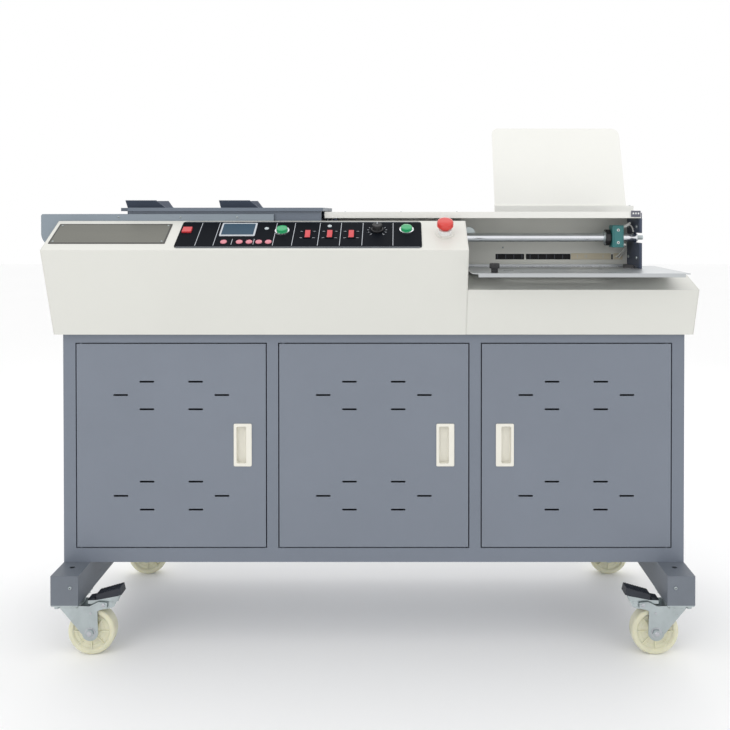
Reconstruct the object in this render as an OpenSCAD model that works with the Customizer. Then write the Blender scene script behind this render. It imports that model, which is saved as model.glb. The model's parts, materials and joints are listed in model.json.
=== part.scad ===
// Floor-standing perfect binding machine on a three-door cabinet.
// X runs left to right, Y front to back, Z up. The origin is on the floor, under the middle of
// the whole machine's outline.

/* [Cabinet] */
// Width over the side panels
cab_w = 1350; // [1200:5:1500]
// Depth from the door fronts to the back panel
cab_d = 360; // [340:5:460]
// Height of the cabinet body
cab_h = 496; // [400:2:600]
// Sheet steel thickness of panels and covers
sheet = 2; // [1.5:0.1:2.5]
// Depth of the front face frame's bars
bar_d = 20; // [18:1:26]
// Width of the two outer stiles
stile_w = 26.5; // [22:0.5:36]
// Width of the two middle stiles
mid_w = 24.5; // [20:0.5:36]
// Height of the top rail
top_rail_h = 17.5; // [14:0.5:30]
// Height of the bottom rail
low_rail_h = 30.5; // [20:0.5:40]

/* [Doors] */
// Gap round each door
door_gap = 2.5; // [2.4:0.1:4]
// Depth of the folded door edges
door_t = 18; // [15:0.5:22]
// Hinge pin's distance from the door's edge
pin_in = 8; // [7:0.5:9]
// Hinge pin's distance behind the door's front
pin_back = 6; // [5:0.5:6.5]
// Hinge pin radius
pin_r = 3; // [2.5:0.1:3.5]
// Length of a vent slot
slot_l = 32; // [20:1:44]
// Height of a vent slot
slot_h = 4; // [3:0.5:6]
// Width of the flush pull's flange
pull_w = 39; // [34:1:50]
// Height of the flush pull's flange
pull_h = 93; // [80:1:120]
// Depth of the pull's finger pocket
pull_deep = 12; // [9:0.5:13]

/* [Skids and casters] */
// Width of a skid tube
skid_w = 58; // [50:1:70]
// Height of a skid tube
skid_h = 62; // [50:1:80]
// Reach of a skid past the cabinet at each end
skid_out = 75; // [72:1:110]
// Wall of a skid tube
skid_wall = 2.5; // [2:0.5:4]
// Wheel radius
wheel_r = 50; // [38:1:52]
// Wheel width
wheel_w = 32; // [24:1:36]
// Axle radius
axle_r = 6; // [4:0.5:8]
// Trail from the swivel axis to the axle
trail = 44.5; // [36:0.5:48]
// Height of the casters' mounting face above the floor
caster_h = 120; // [118:1:130]
// Bolt spacing of a caster plate across the skid
bolt_x = 38; // [34:1:39]
// Bolt spacing of a caster plate along the skid
bolt_y = 73; // [70:1:80]

/* [Upper body] */
// Width of the cream body over its end panels
body_w = 1380; // [1380:5:1600]
// Reach of the control nose in front of the cabinet
nose_out = 85; // [70:1:100]
// Height of the control nose above the cabinet
nose_h = 187; // [170:1:210]
// Rise of the control slope
slope_rise = 60; // [45:1:65]
// Run of the control slope
slope_run = 103; // [95:1:110]
// Place of the control box's right end wall
control_end = 200; // [190:1:220]
// Reach of the low right-hand nose in front of the cabinet
low_nose_out = 51; // [40:1:60]
// Height of the low deck under the delivery tray, above the cabinet
low_deck_h = 127; // [118:1:130]
// Place of the upper body's right end plate
end_x = 593; // [585:1:610]
// Reach of the hood's left end past the cream body
hood_out = 40; // [25:1:50]

/* [Carriage and shafts] */
// Guide shaft radius
shaft_r = 10; // [8:0.5:12]
// Height of both guide shafts
shaft_z = 887; // [884:1:889]
// Place of the front guide shaft
shaft_front = 84; // [80:1:88]
// Place of the rear guide shaft
shaft_rear = 260; // [258:1:262]
// Left end of the book clamp at home
clamp_left = -580; // [-582:1:-570]
// Right end of the book clamp at home
clamp_right = -112; // [-130:1:-112]
// Thickest book the open clamp takes
clamp_gap = 60; // [40:1:60]
// Travel of the carriage
travel = 640; // [560:5:640]
// Thickness of the carriage's top plate
plate_t = 7.5; // [5:0.5:9]

/* [Table and tray] */
// Height of the cover table's surface
table_z = 945; // [943:1:945]
// Left end of the cover table
table_left = -110; // [-110:1:-90]
// Thickness of the delivery tray
tray_t = 2; // [1.5:0.5:3]
// Height of the delivery tray's surface
tray_z = 819; // [816:1:828]
// Height of the leaning back board, along its face
board_h = 214; // [160:1:260]
// Lean of the back board from upright, in degrees
board_lean = 21; // [10:1:25]

/* [Clearances] */
// Radial clearance of a shaft or pin in its hole
running = 0.05; // [0.02:0.01:0.1]
// Gap between parts that move past each other
gap = 0.4; // [0.3:0.1:0.8]

/* [Hidden] */
$fn = 64;
// Cabinet, in the machine's own frame: X from its middle, Y from the door fronts
cab_z = caster_h + skid_h;
cab_top = cab_z + cab_h;
door_w = (cab_w - 2 * stile_w - 2 * mid_w - 6 * door_gap) / 3;
door_z = cab_z + low_rail_h + door_gap;
door_h = cab_h - low_rail_h - top_rail_h - 2 * door_gap;
door_pitch = door_w + 2 * door_gap + mid_w;
DOOR_SIDES = [-1, -1, 1]; // hinge side of each door, left to right
pull_in = 50; // from the door's free edge to the middle of its pull
pull_z = door_z + door_h * 0.503;
pull_flange = 2;
pocket_w = 21;
bush_l = 10; // length of a door's hinge bush
pin_l = 8; // reach of a hinge pin into its bush
// Vent slots: height from the door's middle, and distance to each side
slot_rows = [[139, 53], [110, 110], [79, 53], [-79, 53], [-110, 110], [-140, 53]];

// Skids and casters
skid_x = cab_w / 2 - skid_w / 2;
plate_w = 56;
plate_d = 92;
plate_h = 3;
swivel_in = 28; // from the cabinet's face to a swivel axis
swivel_y = [-swivel_in, cab_d + swivel_in];
race_r = 22;
crown_r = 27;
crown_z = [caster_h - 16, caster_h - 6];
fork_t = 3;
fork_gap = 2; // between a wheel's face and the fork leg
pedal_u = 73; // pedal pivot, from the swivel axis
pedal_z = 109;
pedal_r = 2.5;
leg_y = wheel_w / 2 + fork_gap;

// Upper body
bed_t = 10;
bed_top = cab_top + bed_t;
flange_in = 8; // where the fascia's bottom flange meets the bed plate
bottom_out = 14;
bottom_z = cab_top + 2;
nose_z = cab_top + nose_h;
slope_a = atan2(slope_rise, slope_run);
slope_l = norm([slope_run, slope_rise]);
slope_top = [slope_run - nose_out, nose_z + slope_rise];
low_deck_z = cab_top + low_deck_h;
low_nose_z = low_deck_z - 25;
low_step = 28; // where the low deck turns level
body_x = body_w / 2;
back_y = cab_d - 2;
recess_y = 142; // front of the recess wall
hood_top = 940;
hood_low = 868;
hood_right = -220;
hood_cap = clamp_left - 10; // right end of the hood's full-depth part
hood_y = slope_top[0] + 2;
inlet_at = [-635, bottom_z + 60];
fascia_path = [[flange_in, bottom_z], [-bottom_out, bottom_z], [-nose_out, nose_z], slope_top,
    [slope_top[0], slope_top[1] - 30]];
right_path = [[flange_in, bottom_z], [-bottom_out, bottom_z], [-low_nose_out, low_nose_z],
    [low_step, low_deck_z], [recess_y, low_deck_z]];

// Carriage
plate_z = table_z + 1.5;
jaw_low = 905;
jaw_t = 8;
jaw_y = 148; // front of the fixed jaw
gap_y = jaw_y + jaw_t; // front of the book gap
moving_t = 10;
apron = [26, 32]; // front and back of the carriage's apron
front_left = -540; // left end of the carriage plate's front strip
block = [40, 42]; // depth and height of a bearing block
block_l = 60;
front_blocks = [front_left, clamp_right - 88];
rear_blocks = [clamp_left, clamp_right - block_l];
rod_r = 5;
rod_in = 7; // from the clamp's ends to its guide rods
rod_z = 925;
wing_h = 973; // top of the book guides
wing_left = [-577, -360];
wing_l = 92;
wing_lean = 28;
rod_x = [clamp_left + rod_in, clamp_right - rod_in];
shaft_left = -660;

// Table
lip_y = 36;
lip_low = 931;
deck_back = 146;
rail_y = [284, 300];
rail_z = [933, 961];
rail_right = 640;
board_x = [294, 622];
nip_x = [70, 578];
nip_y = [150, 238];
nip_z = [872, 885];
nip_leg = [nip_x[0] + 60, nip_x[1] - 60];
column_r = 8; // fixed columns that guide the nip table's legs
slot_z = [834, 847]; // slots in the recess wall

// Glue station
roller_r = 22;
roller_z = 872;
roller_x = [-24, 29];
roller_y = [166, 228];
journal_r = 4;
tank_x = [-52, 57];
tank_y = [154, 236];
tank_z = [815, 880];
tank_wall = 4;
cutter_x = -105;
cutter_y = 196;
cutter_r = 40;
cutter_z = [884, 896];
cutter_bore = 8;

// Tray
tray_x = [205, 650];
tray_y = [-115, 141];
tray_lip = 8;
knob_at = [252, -92];

// Places of the controls on the slope: X, and the distance up from the nose
panel_x = [-415, 103];
panel_s = [8, 114];
panel_t = 1.5;
name_x = [-682, -437];
name_s = [25, 105];
display_x = [-328, -252];
display_s = [53, 106];
power_at = [-400, 77];
menu_at = [for (x = [-314, -281, -260.5, -240, -220]) [x, 30]];
push_at = [[-195.5, 72], [71, 77]];
switch_at = [for (x = [-140, -93, -47]) [x, 60]];
knob_dial = [8, 77];
stop_at = [153, 66];
push_r = 12;
ring_r = 15.5;
menu_r = 7;
stop_r = 17.5;
power_w = 20;
rocker = [11, 23];
rocker_tilt = 10;

// Moves the machine so that the middle of its outline is over the origin
outline_x = [-body_x - hood_out, max(body_x, tray_x[1])];
outline_y = [min(tray_y[0], -skid_out), cab_d + skid_out];
middle = [-(outline_x[0] + outline_x[1]) / 2, -(outline_y[0] + outline_y[1]) / 2, 0];

// ---- shared shapes ----

// A box from its low corner to its high corner
module box(low, high) {
    translate(low) cube(high - low);
}

// A profile of [y, z] points, run along X
module along_x(x0, x1) {
    translate([x0, 0, 0]) rotate([90, 0, 90]) linear_extrude(x1 - x0) children();
}

// A profile of [x, z] points, run along Y
module along_y(y0, y1) {
    translate([0, y1, 0]) rotate([90, 0, 0]) linear_extrude(y1 - y0) children();
}

// Unit normal of one stretch of a path, and of a corner, lengthened by its mitre
function normal(p, i) = let (d = p[i + 1] - p[i]) [-d[1], d[0]] / norm(d);
function mitre(p, i) =
    i == 0 ? normal(p, 0) :
    i == len(p) - 1 ? normal(p, i - 1) :
    let (a = normal(p, i - 1), b = normal(p, i)) (a + b) / (1 + a * b);

// Outline of a folded sheet whose outer face follows the path, with its metal on the right
function folded(p, t = sheet) =
    concat(p, [for (i = [len(p) - 1:-1:0]) p[i] - t * mitre(p, i)]);

// A flat slot with round ends, lying along X, cut through Y
module slot_cut(x, z, l, h, y0, y1) {
    along_y(y0, y1) translate([x, z]) {
        square([l - h, h], center = true);
        for (s = [-1, 1]) translate([s * (l - h) / 2, 0]) circle(h / 2);
    }
}

// A rectangle with round corners
module round_rect(w, h, r) {
    square([w - 2 * r, h], center = true);
    square([w, h - 2 * r], center = true);
    for (x = [-1, 1], y = [-1, 1]) translate([x * (w / 2 - r), y * (h / 2 - r)]) circle(r);
}

// Puts its children on the control slope, with Z along the slope's normal
module on_slope(at, lift = 0) {
    translate([at[0], -nose_out, nose_z])
        rotate([slope_a, 0, 0])
            translate([0, at[1], lift]) children();
}

module place() {
    translate(middle) children();
}

// ---- cabinet ----

module rail_bar(z0, z1) {
    box([-cab_w / 2 + stile_w, 0, z0], [cab_w / 2 - stile_w, bar_d, z1]);
}

// Face frame of square bars, with the doors' hinge pins set in its rails
module cabinet_frame() color([0.45, 0.48, 0.54]) {
    for (s = [-1, 1]) {
        x = s * (cab_w - stile_w) / 2;
        box([x - stile_w / 2, 0, cab_z], [x + stile_w / 2, bar_d, cab_top]);
    }
    rail_bar(cab_z, cab_z + low_rail_h);
    rail_bar(cab_top - top_rail_h, cab_top);
    for (s = [-1, 1]) {
        x = s * door_pitch / 2;
        box([x - mid_w / 2, 0, cab_z + low_rail_h], [x + mid_w / 2, bar_d, cab_top - top_rail_h]);
    }
    for (i = [0:2]) hinge_pin(i);
}

function door_x(i) = (i - 1) * door_pitch;
function hinge_x(i) = door_x(i) + DOOR_SIDES[i] * (door_w / 2 - pin_in);

// A door's two hinge pins, from the rails into the bushes
module hinge_pin(i) {
    rooted = 10;
    for (end = [0, 1]) {
        z = end == 0 ? door_z - door_gap - rooted : door_z + door_h - pin_l;
        translate([hinge_x(i), pin_back, z])
            cylinder(h = pin_l + door_gap + rooted, r = pin_r);
    }
}

// Side panels, back, floor, the two partitions behind the middle stiles and the magnet catches
module cabinet_shell() color([0.45, 0.48, 0.54]) {
    w = cab_w / 2;
    for (s = [-1, 1])
        box([s == 1 ? w - sheet : -w, bar_d, cab_z], [s == 1 ? w : -w + sheet, cab_d, cab_top]);
    difference() {
        box([-w + sheet, cab_d - sheet, cab_z + sheet], [w - sheet, cab_d, cab_top]);
        for (i = [0:2], k = [0:4])
            slot_cut(door_x(i), cab_top - 60 - 14 * k, 120, slot_h, cab_d - sheet - 1, cab_d + 1);
    }
    box([-w + sheet, bar_d, cab_z], [w - sheet, cab_d, cab_z + sheet]);
    for (s = [-1, 1])
        box([s * door_pitch / 2 - sheet / 2, bar_d, cab_z + sheet],
            [s * door_pitch / 2 + sheet / 2, cab_d - sheet, cab_top]);
    catch = [12, 22, 46];
    for (i = [0:2]) {
        free = door_x(i) - DOOR_SIDES[i] * (door_w / 2 + door_gap);
        x0 = DOOR_SIDES[i] < 0 ? free : free - catch[0];
        translate([x0, bar_d, door_z + door_h / 2 - catch[2] / 2]) cube(catch);
    }
}

// Two square tubes with welded end caps, and an access hole over each caster's pin
module skids() color([0.43, 0.46, 0.52]) {
    for (s = [-1, 1]) {
        low = [s * skid_x - skid_w / 2, -skid_out, caster_h];
        high = [s * skid_x + skid_w / 2, cab_d + skid_out, cab_z];
        inset = [skid_wall, 0, skid_wall];
        difference() {
            box(low, high);
            box(low + inset - [0, 1, 0], high - inset + [0, 1, 0]);
            for (y = swivel_y) translate([s * skid_x, y, cab_z - 10]) cylinder(h = 20, r = 6);
            for (y = swivel_y, u = [-1, 1], v = [-1, 1])
                translate([s * skid_x + u * bolt_x / 2, y + v * bolt_y / 2, caster_h - 1])
                    cylinder(h = skid_wall + 2, r = 4.2);
        }
        for (y = [-skid_out, cab_d + skid_out - skid_wall])
            box([low[0], y, caster_h] + inset, [high[0], y + skid_wall, cab_z] - inset);
    }
}

// Mounting plates with their ball races, swivel pins and bolts
module caster_plates() color([0.66, 0.70, 0.70]) {
    for (s = [-1, 1], y = swivel_y) translate([s * skid_x, y, 0]) {
        difference() {
            union() {
                box([-plate_w / 2, -plate_d / 2, caster_h - plate_h],
                    [plate_w / 2, plate_d / 2, caster_h]);
                translate([0, 0, crown_z[1] + gap])
                    cylinder(h = caster_h - crown_z[1] - gap, r = race_r);
                translate([0, 0, crown_z[0] - 9])
                    cylinder(h = caster_h - crown_z[0] + 9, r = axle_r);
                translate([0, 0, crown_z[0] - 9]) cylinder(h = 9 - gap, r = 9.5, $fn = 6);
            }
            for (u = [-1, 1], v = [-1, 1])
                translate([u * bolt_x / 2, v * bolt_y / 2, caster_h - plate_h - 1])
                    cylinder(h = plate_h + 2, r = 4.2);
        }
        for (u = [-1, 1], v = [-1, 1]) translate([u * bolt_x / 2, v * bolt_y / 2, 0]) {
            translate([0, 0, caster_h - plate_h - 6]) cylinder(h = 6, r = 6.5, $fn = 6);
            translate([0, 0, caster_h - plate_h]) cylinder(h = plate_h + skid_wall, r = 4);
            translate([0, 0, caster_h + skid_wall]) cylinder(h = 5, r = 6.5, $fn = 6);
        }
    }
}

// ---- casters: side is -1 left or 1 right, and a wheel trails towards the machine's middle ----

function wheel_x(side) = side * (skid_x - trail);

// Outline of a fork leg: distance in from the swivel axis, and height
module leg_outline(braked) {
    ears = braked ? [[60, 96], [66, 99.5], [80, 102], [81, 114], [62, 116]]
        : [[60, 92], [56, crown_z[0] + 2]];
    polygon(concat([[-20, crown_z[1] - 4], [-20, crown_z[0]], [trail - 16, wheel_r - 4],
        [trail + 17, wheel_r]], ears, [[43, crown_z[0] + fork_t]]));
    translate([trail, wheel_r]) circle(17);
}

module fork(side, y, braked) color([0.66, 0.70, 0.70])
translate([side * skid_x, y, 0]) inwards(side) left_fork(braked);

// Mirrors a left-hand piece for the right-hand side
module inwards(side) {
    if (side < 0) children();
    else mirror([1, 0, 0]) children();
}

module left_fork(braked) {
    difference() {
        union() {
            translate([0, 0, crown_z[0]]) cylinder(h = crown_z[1] - crown_z[0], r = crown_r);
            box([-20, -leg_y, crown_z[0]], [43, leg_y, crown_z[0] + fork_t]);
            for (s = [-1, 1])
                along_y(s < 0 ? -leg_y - fork_t : leg_y, s < 0 ? -leg_y : leg_y + fork_t)
                    leg_outline(braked);
        }
        translate([0, 0, crown_z[0] - 1]) cylinder(h = crown_z[1] + 2, r = axle_r + running);
    }
    pin_end = leg_y + fork_t;
    translate([trail, pin_end, wheel_r]) rotate([90, 0, 0]) cylinder(h = 2 * pin_end, r = axle_r);
    for (s = [-1, 1]) translate([trail, s * (pin_end + 3), wheel_r]) rotate([90, 0, 0])
        cylinder(h = 6, r = 9.5, center = true, $fn = 6);
    if (braked) translate([pedal_u, pin_end, pedal_z]) rotate([90, 0, 0])
        cylinder(h = 2 * pin_end, r = pedal_r);
}

module wheel(side, y) color([0.87, 0.86, 0.72])
translate([wheel_x(side), y, wheel_r]) rotate([90, 0, 0]) difference() {
    rim = 9;
    rotate_extrude() polygon([
        [axle_r + running, -wheel_w / 2], [16, -wheel_w / 2], [18, -wheel_w / 2 + 5],
        [wheel_r - rim - 2, -wheel_w / 2 + 5], [wheel_r - rim, -wheel_w / 2 + 1],
        [wheel_r - 3, -wheel_w / 2 + 1], [wheel_r, -wheel_w / 2 + 5],
        [wheel_r, wheel_w / 2 - 5], [wheel_r - 3, wheel_w / 2 - 1],
        [wheel_r - rim, wheel_w / 2 - 1], [wheel_r - rim - 2, wheel_w / 2 - 5],
        [18, wheel_w / 2 - 5], [16, wheel_w / 2], [axle_r + running, wheel_w / 2]]);
}

// Foot lever of a braked caster: cheeks on the pivot, a long tread and a short one
module brake_pedal(side) color([0.13, 0.15, 0.18])
translate([side * skid_x, swivel_y[0], 0]) inwards(side) {
    cheek = [12.5, 15.5];
    difference() {
        union() {
            for (s = [-1, 1]) along_y(s < 0 ? -cheek[1] : cheek[0], s < 0 ? -cheek[0] : cheek[1])
                polygon([[64, 100], [84, 99.5], [94, 104], [99, 115], [106, 127.5],
                    [58, 118.5], [38, 117.5], [38, 110], [48, 109]]);
            along_y(-cheek[1] + 0.5, cheek[1] - 0.5)
                polygon([[57, 114], [110, 129], [106.5, 143.5], [55, 129]]);
            along_y(-cheek[0] - 1, cheek[0] + 1)
                polygon([[37, 110.5], [53, 114.5], [53, 121.5], [37, 118.5]]);
        }
        translate([pedal_u, cheek[1] + 1, pedal_z]) rotate([90, 0, 0])
            cylinder(h = 2 * cheek[1] + 2, r = pedal_r + running);
    }
}

// ---- doors ----

module door(i) color([0.45, 0.48, 0.54]) {
    side = DOOR_SIDES[i];
    x0 = door_x(i) - door_w / 2;
    hinge = hinge_x(i);
    bush_w = pin_in + 8;
    difference() {
        union() {
            difference() {
                box([x0, 0, door_z], [x0 + door_w, door_t, door_z + door_h]);
                box([x0 + sheet, sheet, door_z + sheet],
                    [x0 + door_w - sheet, door_t + 1, door_z + door_h - sheet]);
            }
            for (z = [door_z, door_z + door_h - bush_l])
                box([side < 0 ? x0 : x0 + door_w - bush_w, 0, z],
                    [side < 0 ? x0 + bush_w : x0 + door_w, door_t - 4, z + bush_l]);
        }
        for (z = [door_z - 1, door_z + door_h - bush_l - 1])
            translate([hinge, pin_back, z]) cylinder(h = bush_l + 2, r = pin_r + running);
        for (row = slot_rows, s = [-1, 1])
            slot_cut(door_x(i) + s * row[1], door_z + door_h / 2 + row[0], slot_l, slot_h, -1, sheet + 1);
        pull_box(i, gap, -1, door_t);
    }
}

function pull_x(i) = door_x(i) - DOOR_SIDES[i] * (door_w / 2 - pull_in);

// The flush pull's body, with a margin all round it
module pull_box(i, margin, y0, y1) {
    w = pull_w - 6 + 2 * margin;
    h = pull_h - 6 + 2 * margin;
    box([pull_x(i) - w / 2, y0, pull_z - h / 2], [pull_x(i) + w / 2, y1, pull_z + h / 2]);
}

module pull(i) color([0.89, 0.88, 0.82]) {
    wall = 1.5;
    offset_x = 3 * DOOR_SIDES[i];
    difference() {
        union() {
            along_y(-pull_flange, 0) translate([pull_x(i), pull_z]) round_rect(pull_w, pull_h, 3);
            pull_box(i, 0, -0.5, pull_deep + wall);
        }
        along_y(-pull_flange - 1, pull_deep) translate([pull_x(i) + offset_x, pull_z])
            round_rect(pocket_w, pull_h - 13, 3);
    }
}

// ---- machine body ----

// Bed plate, with the two columns that guide the nip table
module bed_plate() color([0.35, 0.37, 0.40]) {
    box([-cab_w / 2 + 3, flange_in, cab_top], [cab_w / 2 - 3, back_y - sheet, bed_top]);
    for (x = nip_leg) translate([x, (nip_y[0] + nip_y[1]) / 2, bed_top])
        cylinder(h = 150, r = column_r);
}

// The fascia is cut where the controls pass through it
module front_fascia() color([0.88, 0.88, 0.85])
difference() {
    along_x(-body_x + sheet, control_end - sheet) polygon(folded(fascia_path));
    deep = 8;
    for (at = push_at) on_slope(at, -deep) cylinder(h = 2 * deep, r = push_r + 1.5);
    for (at = menu_at) on_slope(at, -deep) cylinder(h = 2 * deep, r = menu_r + 1);
    on_slope(knob_dial, -deep) cylinder(h = 2 * deep, r = 6);
    on_slope(stop_at, -deep) cylinder(h = 2 * deep, r = 11.5);
    for (at = switch_at) on_slope(at, -deep)
        linear_extrude(2 * deep) square(rocker + [4, 6], center = true);
    on_slope(power_at, -deep) linear_extrude(2 * deep) square(power_w + 3, center = true);
    display_mid = [(display_x[0] + display_x[1]) / 2, (display_s[0] + display_s[1]) / 2];
    on_slope(display_mid, -deep) linear_extrude(2 * deep) square([62, 38], center = true);
}

module right_fascia() color([0.88, 0.88, 0.85]) {
    along_x(control_end, body_x - sheet) polygon(folded(right_path));
    box([end_x + gap, recess_y, low_deck_z - sheet], [body_x - sheet, back_y - sheet, low_deck_z]);
}

// The two ends of the body, and the wall at the right of the control box
module end_panels() color([0.86, 0.86, 0.83]) {
    along_x(-body_x, -body_x + sheet) polygon([[flange_in, bottom_z], [-bottom_out, bottom_z],
        [-nose_out, nose_z], slope_top, [slope_top[0], hood_low], [back_y, hood_low],
        [back_y, bottom_z]]);
    along_x(control_end - sheet, control_end) polygon([[flange_in, bottom_z],
        [-bottom_out, bottom_z], [-nose_out, nose_z], slope_top,
        [slope_top[0] + sheet, slope_top[1]], [slope_top[0] + sheet, bed_top],
        [flange_in, bed_top]]);
    along_x(body_x - sheet, body_x) polygon([[flange_in, bottom_z], [-bottom_out, bottom_z],
        [-low_nose_out, low_nose_z], [low_step, low_deck_z], [back_y, low_deck_z],
        [back_y, bottom_z]]);
}

module rear_cover() color([0.86, 0.86, 0.83])
difference() {
    union() {
        box([-body_x + sheet, back_y - sheet, bottom_z], [body_x - sheet, back_y, low_deck_z]);
        box([-body_x + sheet, back_y - sheet, low_deck_z], [end_x, back_y, hood_low]);
        box([hood_cap, back_y - sheet, hood_low], [end_x, back_y, table_z - sheet]);
    }
    for (x = [-480:120:480], k = [0:3])
        slot_cut(x, bottom_z + 50 + 16 * k, 80, slot_h, back_y - sheet - 1, back_y + 1);
    along_y(back_y - sheet - 1, back_y + 1) translate([inlet_at[0], inlet_at[1]])
        square([48, 28], center = true);
}

// Panel-mounted mains inlet
module mains_inlet() color([0.1, 0.1, 0.11])
difference() {
    union() {
        along_y(back_y, back_y + 3) translate(inlet_at) round_rect(60, 34, 4);
        along_y(back_y - 24, back_y + 0.5) translate(inlet_at) square([47, 27], center = true);
    }
    along_y(back_y - 16, back_y + 4) translate(inlet_at) square([26, 17], center = true);
}

// Full-depth cap at the left, and a narrow strip along the front of the clamp's home
module hood() color([0.50, 0.54, 0.60]) {
    left = -body_x - hood_out;
    r = 30;
    difference() {
        along_y(hood_y, back_y) hood_outline(left, r, 0);
        along_y(hood_y + sheet, back_y - sheet) hood_outline(left, r, sheet);
        box([-body_x - 0.01, hood_y - 1, hood_low - 1],
            [hood_cap + 1, back_y + 1, hood_low + sheet + 0.01]);
    }
    along_x(hood_cap, hood_right) polygon(folded([[hood_y, hood_low + 20], [hood_y, hood_top],
        [hood_y + 4, hood_top]]));
}

// Front view of the hood's cap: square above, and rolled in at the lower left
module hood_outline(left, r, inset) {
    x0 = left + inset;
    z1 = hood_top - inset;
    z0 = hood_low + inset;
    bend_r = r - inset;
    curve = [for (a = [180:7.5:270]) [x0 + bend_r * (1 + cos(a)), z0 + bend_r * (1 + sin(a))]];
    polygon(concat([[hood_cap, z0], [hood_cap, z1], [x0 + 3, z1], [x0, z1 - 3]], curve));
}

// ---- table, frame and tray ----

module cover_table() color([0.88, 0.88, 0.85]) {
    x1 = end_x - 3;
    along_x(table_left, x1) polygon(folded([[lip_y, lip_low], [lip_y, table_z],
        [deck_back, table_z], [deck_back, table_z - 8]]));
    box([table_left, rail_y[0], rail_z[0]], [rail_right, rail_y[1], table_z - sheet / 2]);
    box([board_x[0], rail_y[0], rail_z[0]], [rail_right, rail_y[1], rail_z[1]]);
    box([hood_cap, rail_y[1], table_z - sheet], [end_x, back_y, table_z]);
    box([x1 - 22, lip_y - 2, lip_low + 3], [x1 - 2, lip_y, table_z + 1.5]);
}

// The right end plate and the posts that carry the table
module table_frame() color([0.16, 0.19, 0.26]) {
    x0 = end_x - 6;
    top = [lip_y + sheet, lip_low - 1];
    difference() {
        over_tray = [tray_y[1] + gap, tray_z + gap];
        along_x(x0, end_x) polygon([[top[0], over_tray[1]], over_tray,
            [over_tray[0], low_deck_z], [recess_y + 4, low_deck_z], [recess_y + 4, bed_top],
            [back_y - sheet, bed_top], [back_y - sheet, top[1]], top]);
        for (y = [shaft_front, shaft_rear]) shaft_bar(y, shaft_r, x0 - 1, end_x + 1);
        box([x0 - 1, top[0] - 1, shaft_z - shaft_r - 1], [end_x + 1, shaft_front, shaft_z + shaft_r + 1]);
    }
    box([x0, lip_y + 4, top[1]], [end_x, deck_back - 4, table_z - sheet]);
    box([x0, rail_y[0], top[1]], [end_x, rail_y[1], rail_z[0]]);
    post_x = [table_left + 2, table_left + 10];
    box([post_x[0], 110, bed_top], [post_x[1], recess_y - 2, table_z - sheet]);
    box([post_x[0], 304, bed_top], [post_x[1], back_y - sheet, table_z - sheet]);
    box([post_x[0], rail_y[0], lip_low - 20], [post_x[1], 304, rail_z[0]]);
    box([hood_cap + 2, 304, bed_top], [hood_cap + 10, back_y - sheet, table_z - sheet]);
}

// Back of the recess over the tray, with the nip's slots
module recess_wall() color([0.85, 0.85, 0.81])
difference() {
    box([control_end, recess_y, low_deck_z], [end_x - 6, recess_y + sheet, table_z - 10]);
    box([280, recess_y - 1, slot_z[0]], [347, recess_y + 5, slot_z[1]]);
    box([351, recess_y - 1, slot_z[0]], [455, recess_y + 5, slot_z[1]]);
    box([550, recess_y - 1, slot_z[0]], [554, recess_y + 5, slot_z[1] - 1]);
}

// Tray on two brackets, with its front edge folded down, its slot and its rear fence
module delivery_tray() color([0.72, 0.74, 0.76]) {
    z0 = tray_z - tray_t;
    w = tray_x[1] - tray_x[0];
    corner = 12;
    difference() {
        union() {
            translate([0, 0, z0]) linear_extrude(tray_t) tray_outline(corner);
            box([tray_x[0] + corner, tray_y[0], tray_z - tray_lip],
                [tray_x[1] - 10, tray_y[0] + tray_t, tray_z]);
        }
        translate([knob_at[0], knob_at[1], z0 - 1]) cylinder(h = tray_t + 2, r = 4 + running);
        box([279, -9, z0 - 1], [496, -3, tray_z + 1]);
    }
    for (x = [tray_x[0] + 30, end_x - 40])
        box([x, low_step + 8, low_deck_z], [x + 20, recess_y - 1, z0]);
    box([tray_x[0] + 2, recess_y - 22, tray_z], [end_x - 8, recess_y - 10, tray_z + 5]);
    box([end_x - 36, 50, tray_z], [end_x - 14, 66, tray_z + 8]);
}

module tray_outline(corner) {
    x = tray_x;
    y = tray_y;
    polygon([[x[0], y[0] + corner], [x[0] + corner, y[0]], [x[1], y[0]], [x[1], y[1]], [x[0], y[1]]]);
}

// Knurled thumb knob through the tray
module tray_knob() color([0.1, 0.1, 0.11])
translate([knob_at[0], knob_at[1], 0]) {
    translate([0, 0, tray_z - tray_t - 6]) cylinder(h = tray_t + 12, r = 4);
    translate([0, 0, tray_z + gap]) cylinder(h = 9, r = 7);
    translate([0, 0, tray_z + 9]) cylinder(h = 10, r = 10.5);
    translate([0, 0, tray_z - tray_t - gap - 4]) cylinder(h = 4, r = 7, $fn = 6);
}

module shaft_bar(y, r, x0, x1) {
    translate([x0, y, shaft_z]) rotate([0, 90, 0]) cylinder(h = x1 - x0, r = r);
}

// Two hardened shafts with end nuts, their left support and the front shaft's buffer
module guide_shafts() color([0.80, 0.82, 0.85]) {
    for (y = [shaft_front, shaft_rear]) shaft_bar(y, shaft_r, shaft_left, end_x);
    for (y = [shaft_front, shaft_rear]) shaft_bar(y, 5.5, end_x, end_x + 14);
    difference() {
        along_x(shaft_left + 6, shaft_left + 18) polygon([[40, bed_top], [300, bed_top],
            [300, 915], [40, 915]]);
        for (y = [shaft_front, shaft_rear])
            shaft_bar(y, shaft_r, shaft_left, shaft_left + 20);
        box([shaft_left, 110, bed_top + 20], [shaft_left + 20, 234, 880]);
    }
    difference() {
        shaft_bar(shaft_front, 20, 517, 533);
        shaft_bar(shaft_front, shaft_r, 516, 534);
    }
}

// Sensor block clamped on the front shaft
module end_sensor() color([0.20, 0.55, 0.55])
difference() {
    box([533, shaft_front - 22, shaft_z - 22], [559, shaft_front + 12, shaft_z + 28]);
    shaft_bar(shaft_front, shaft_r + running, 532, 560);
}

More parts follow.
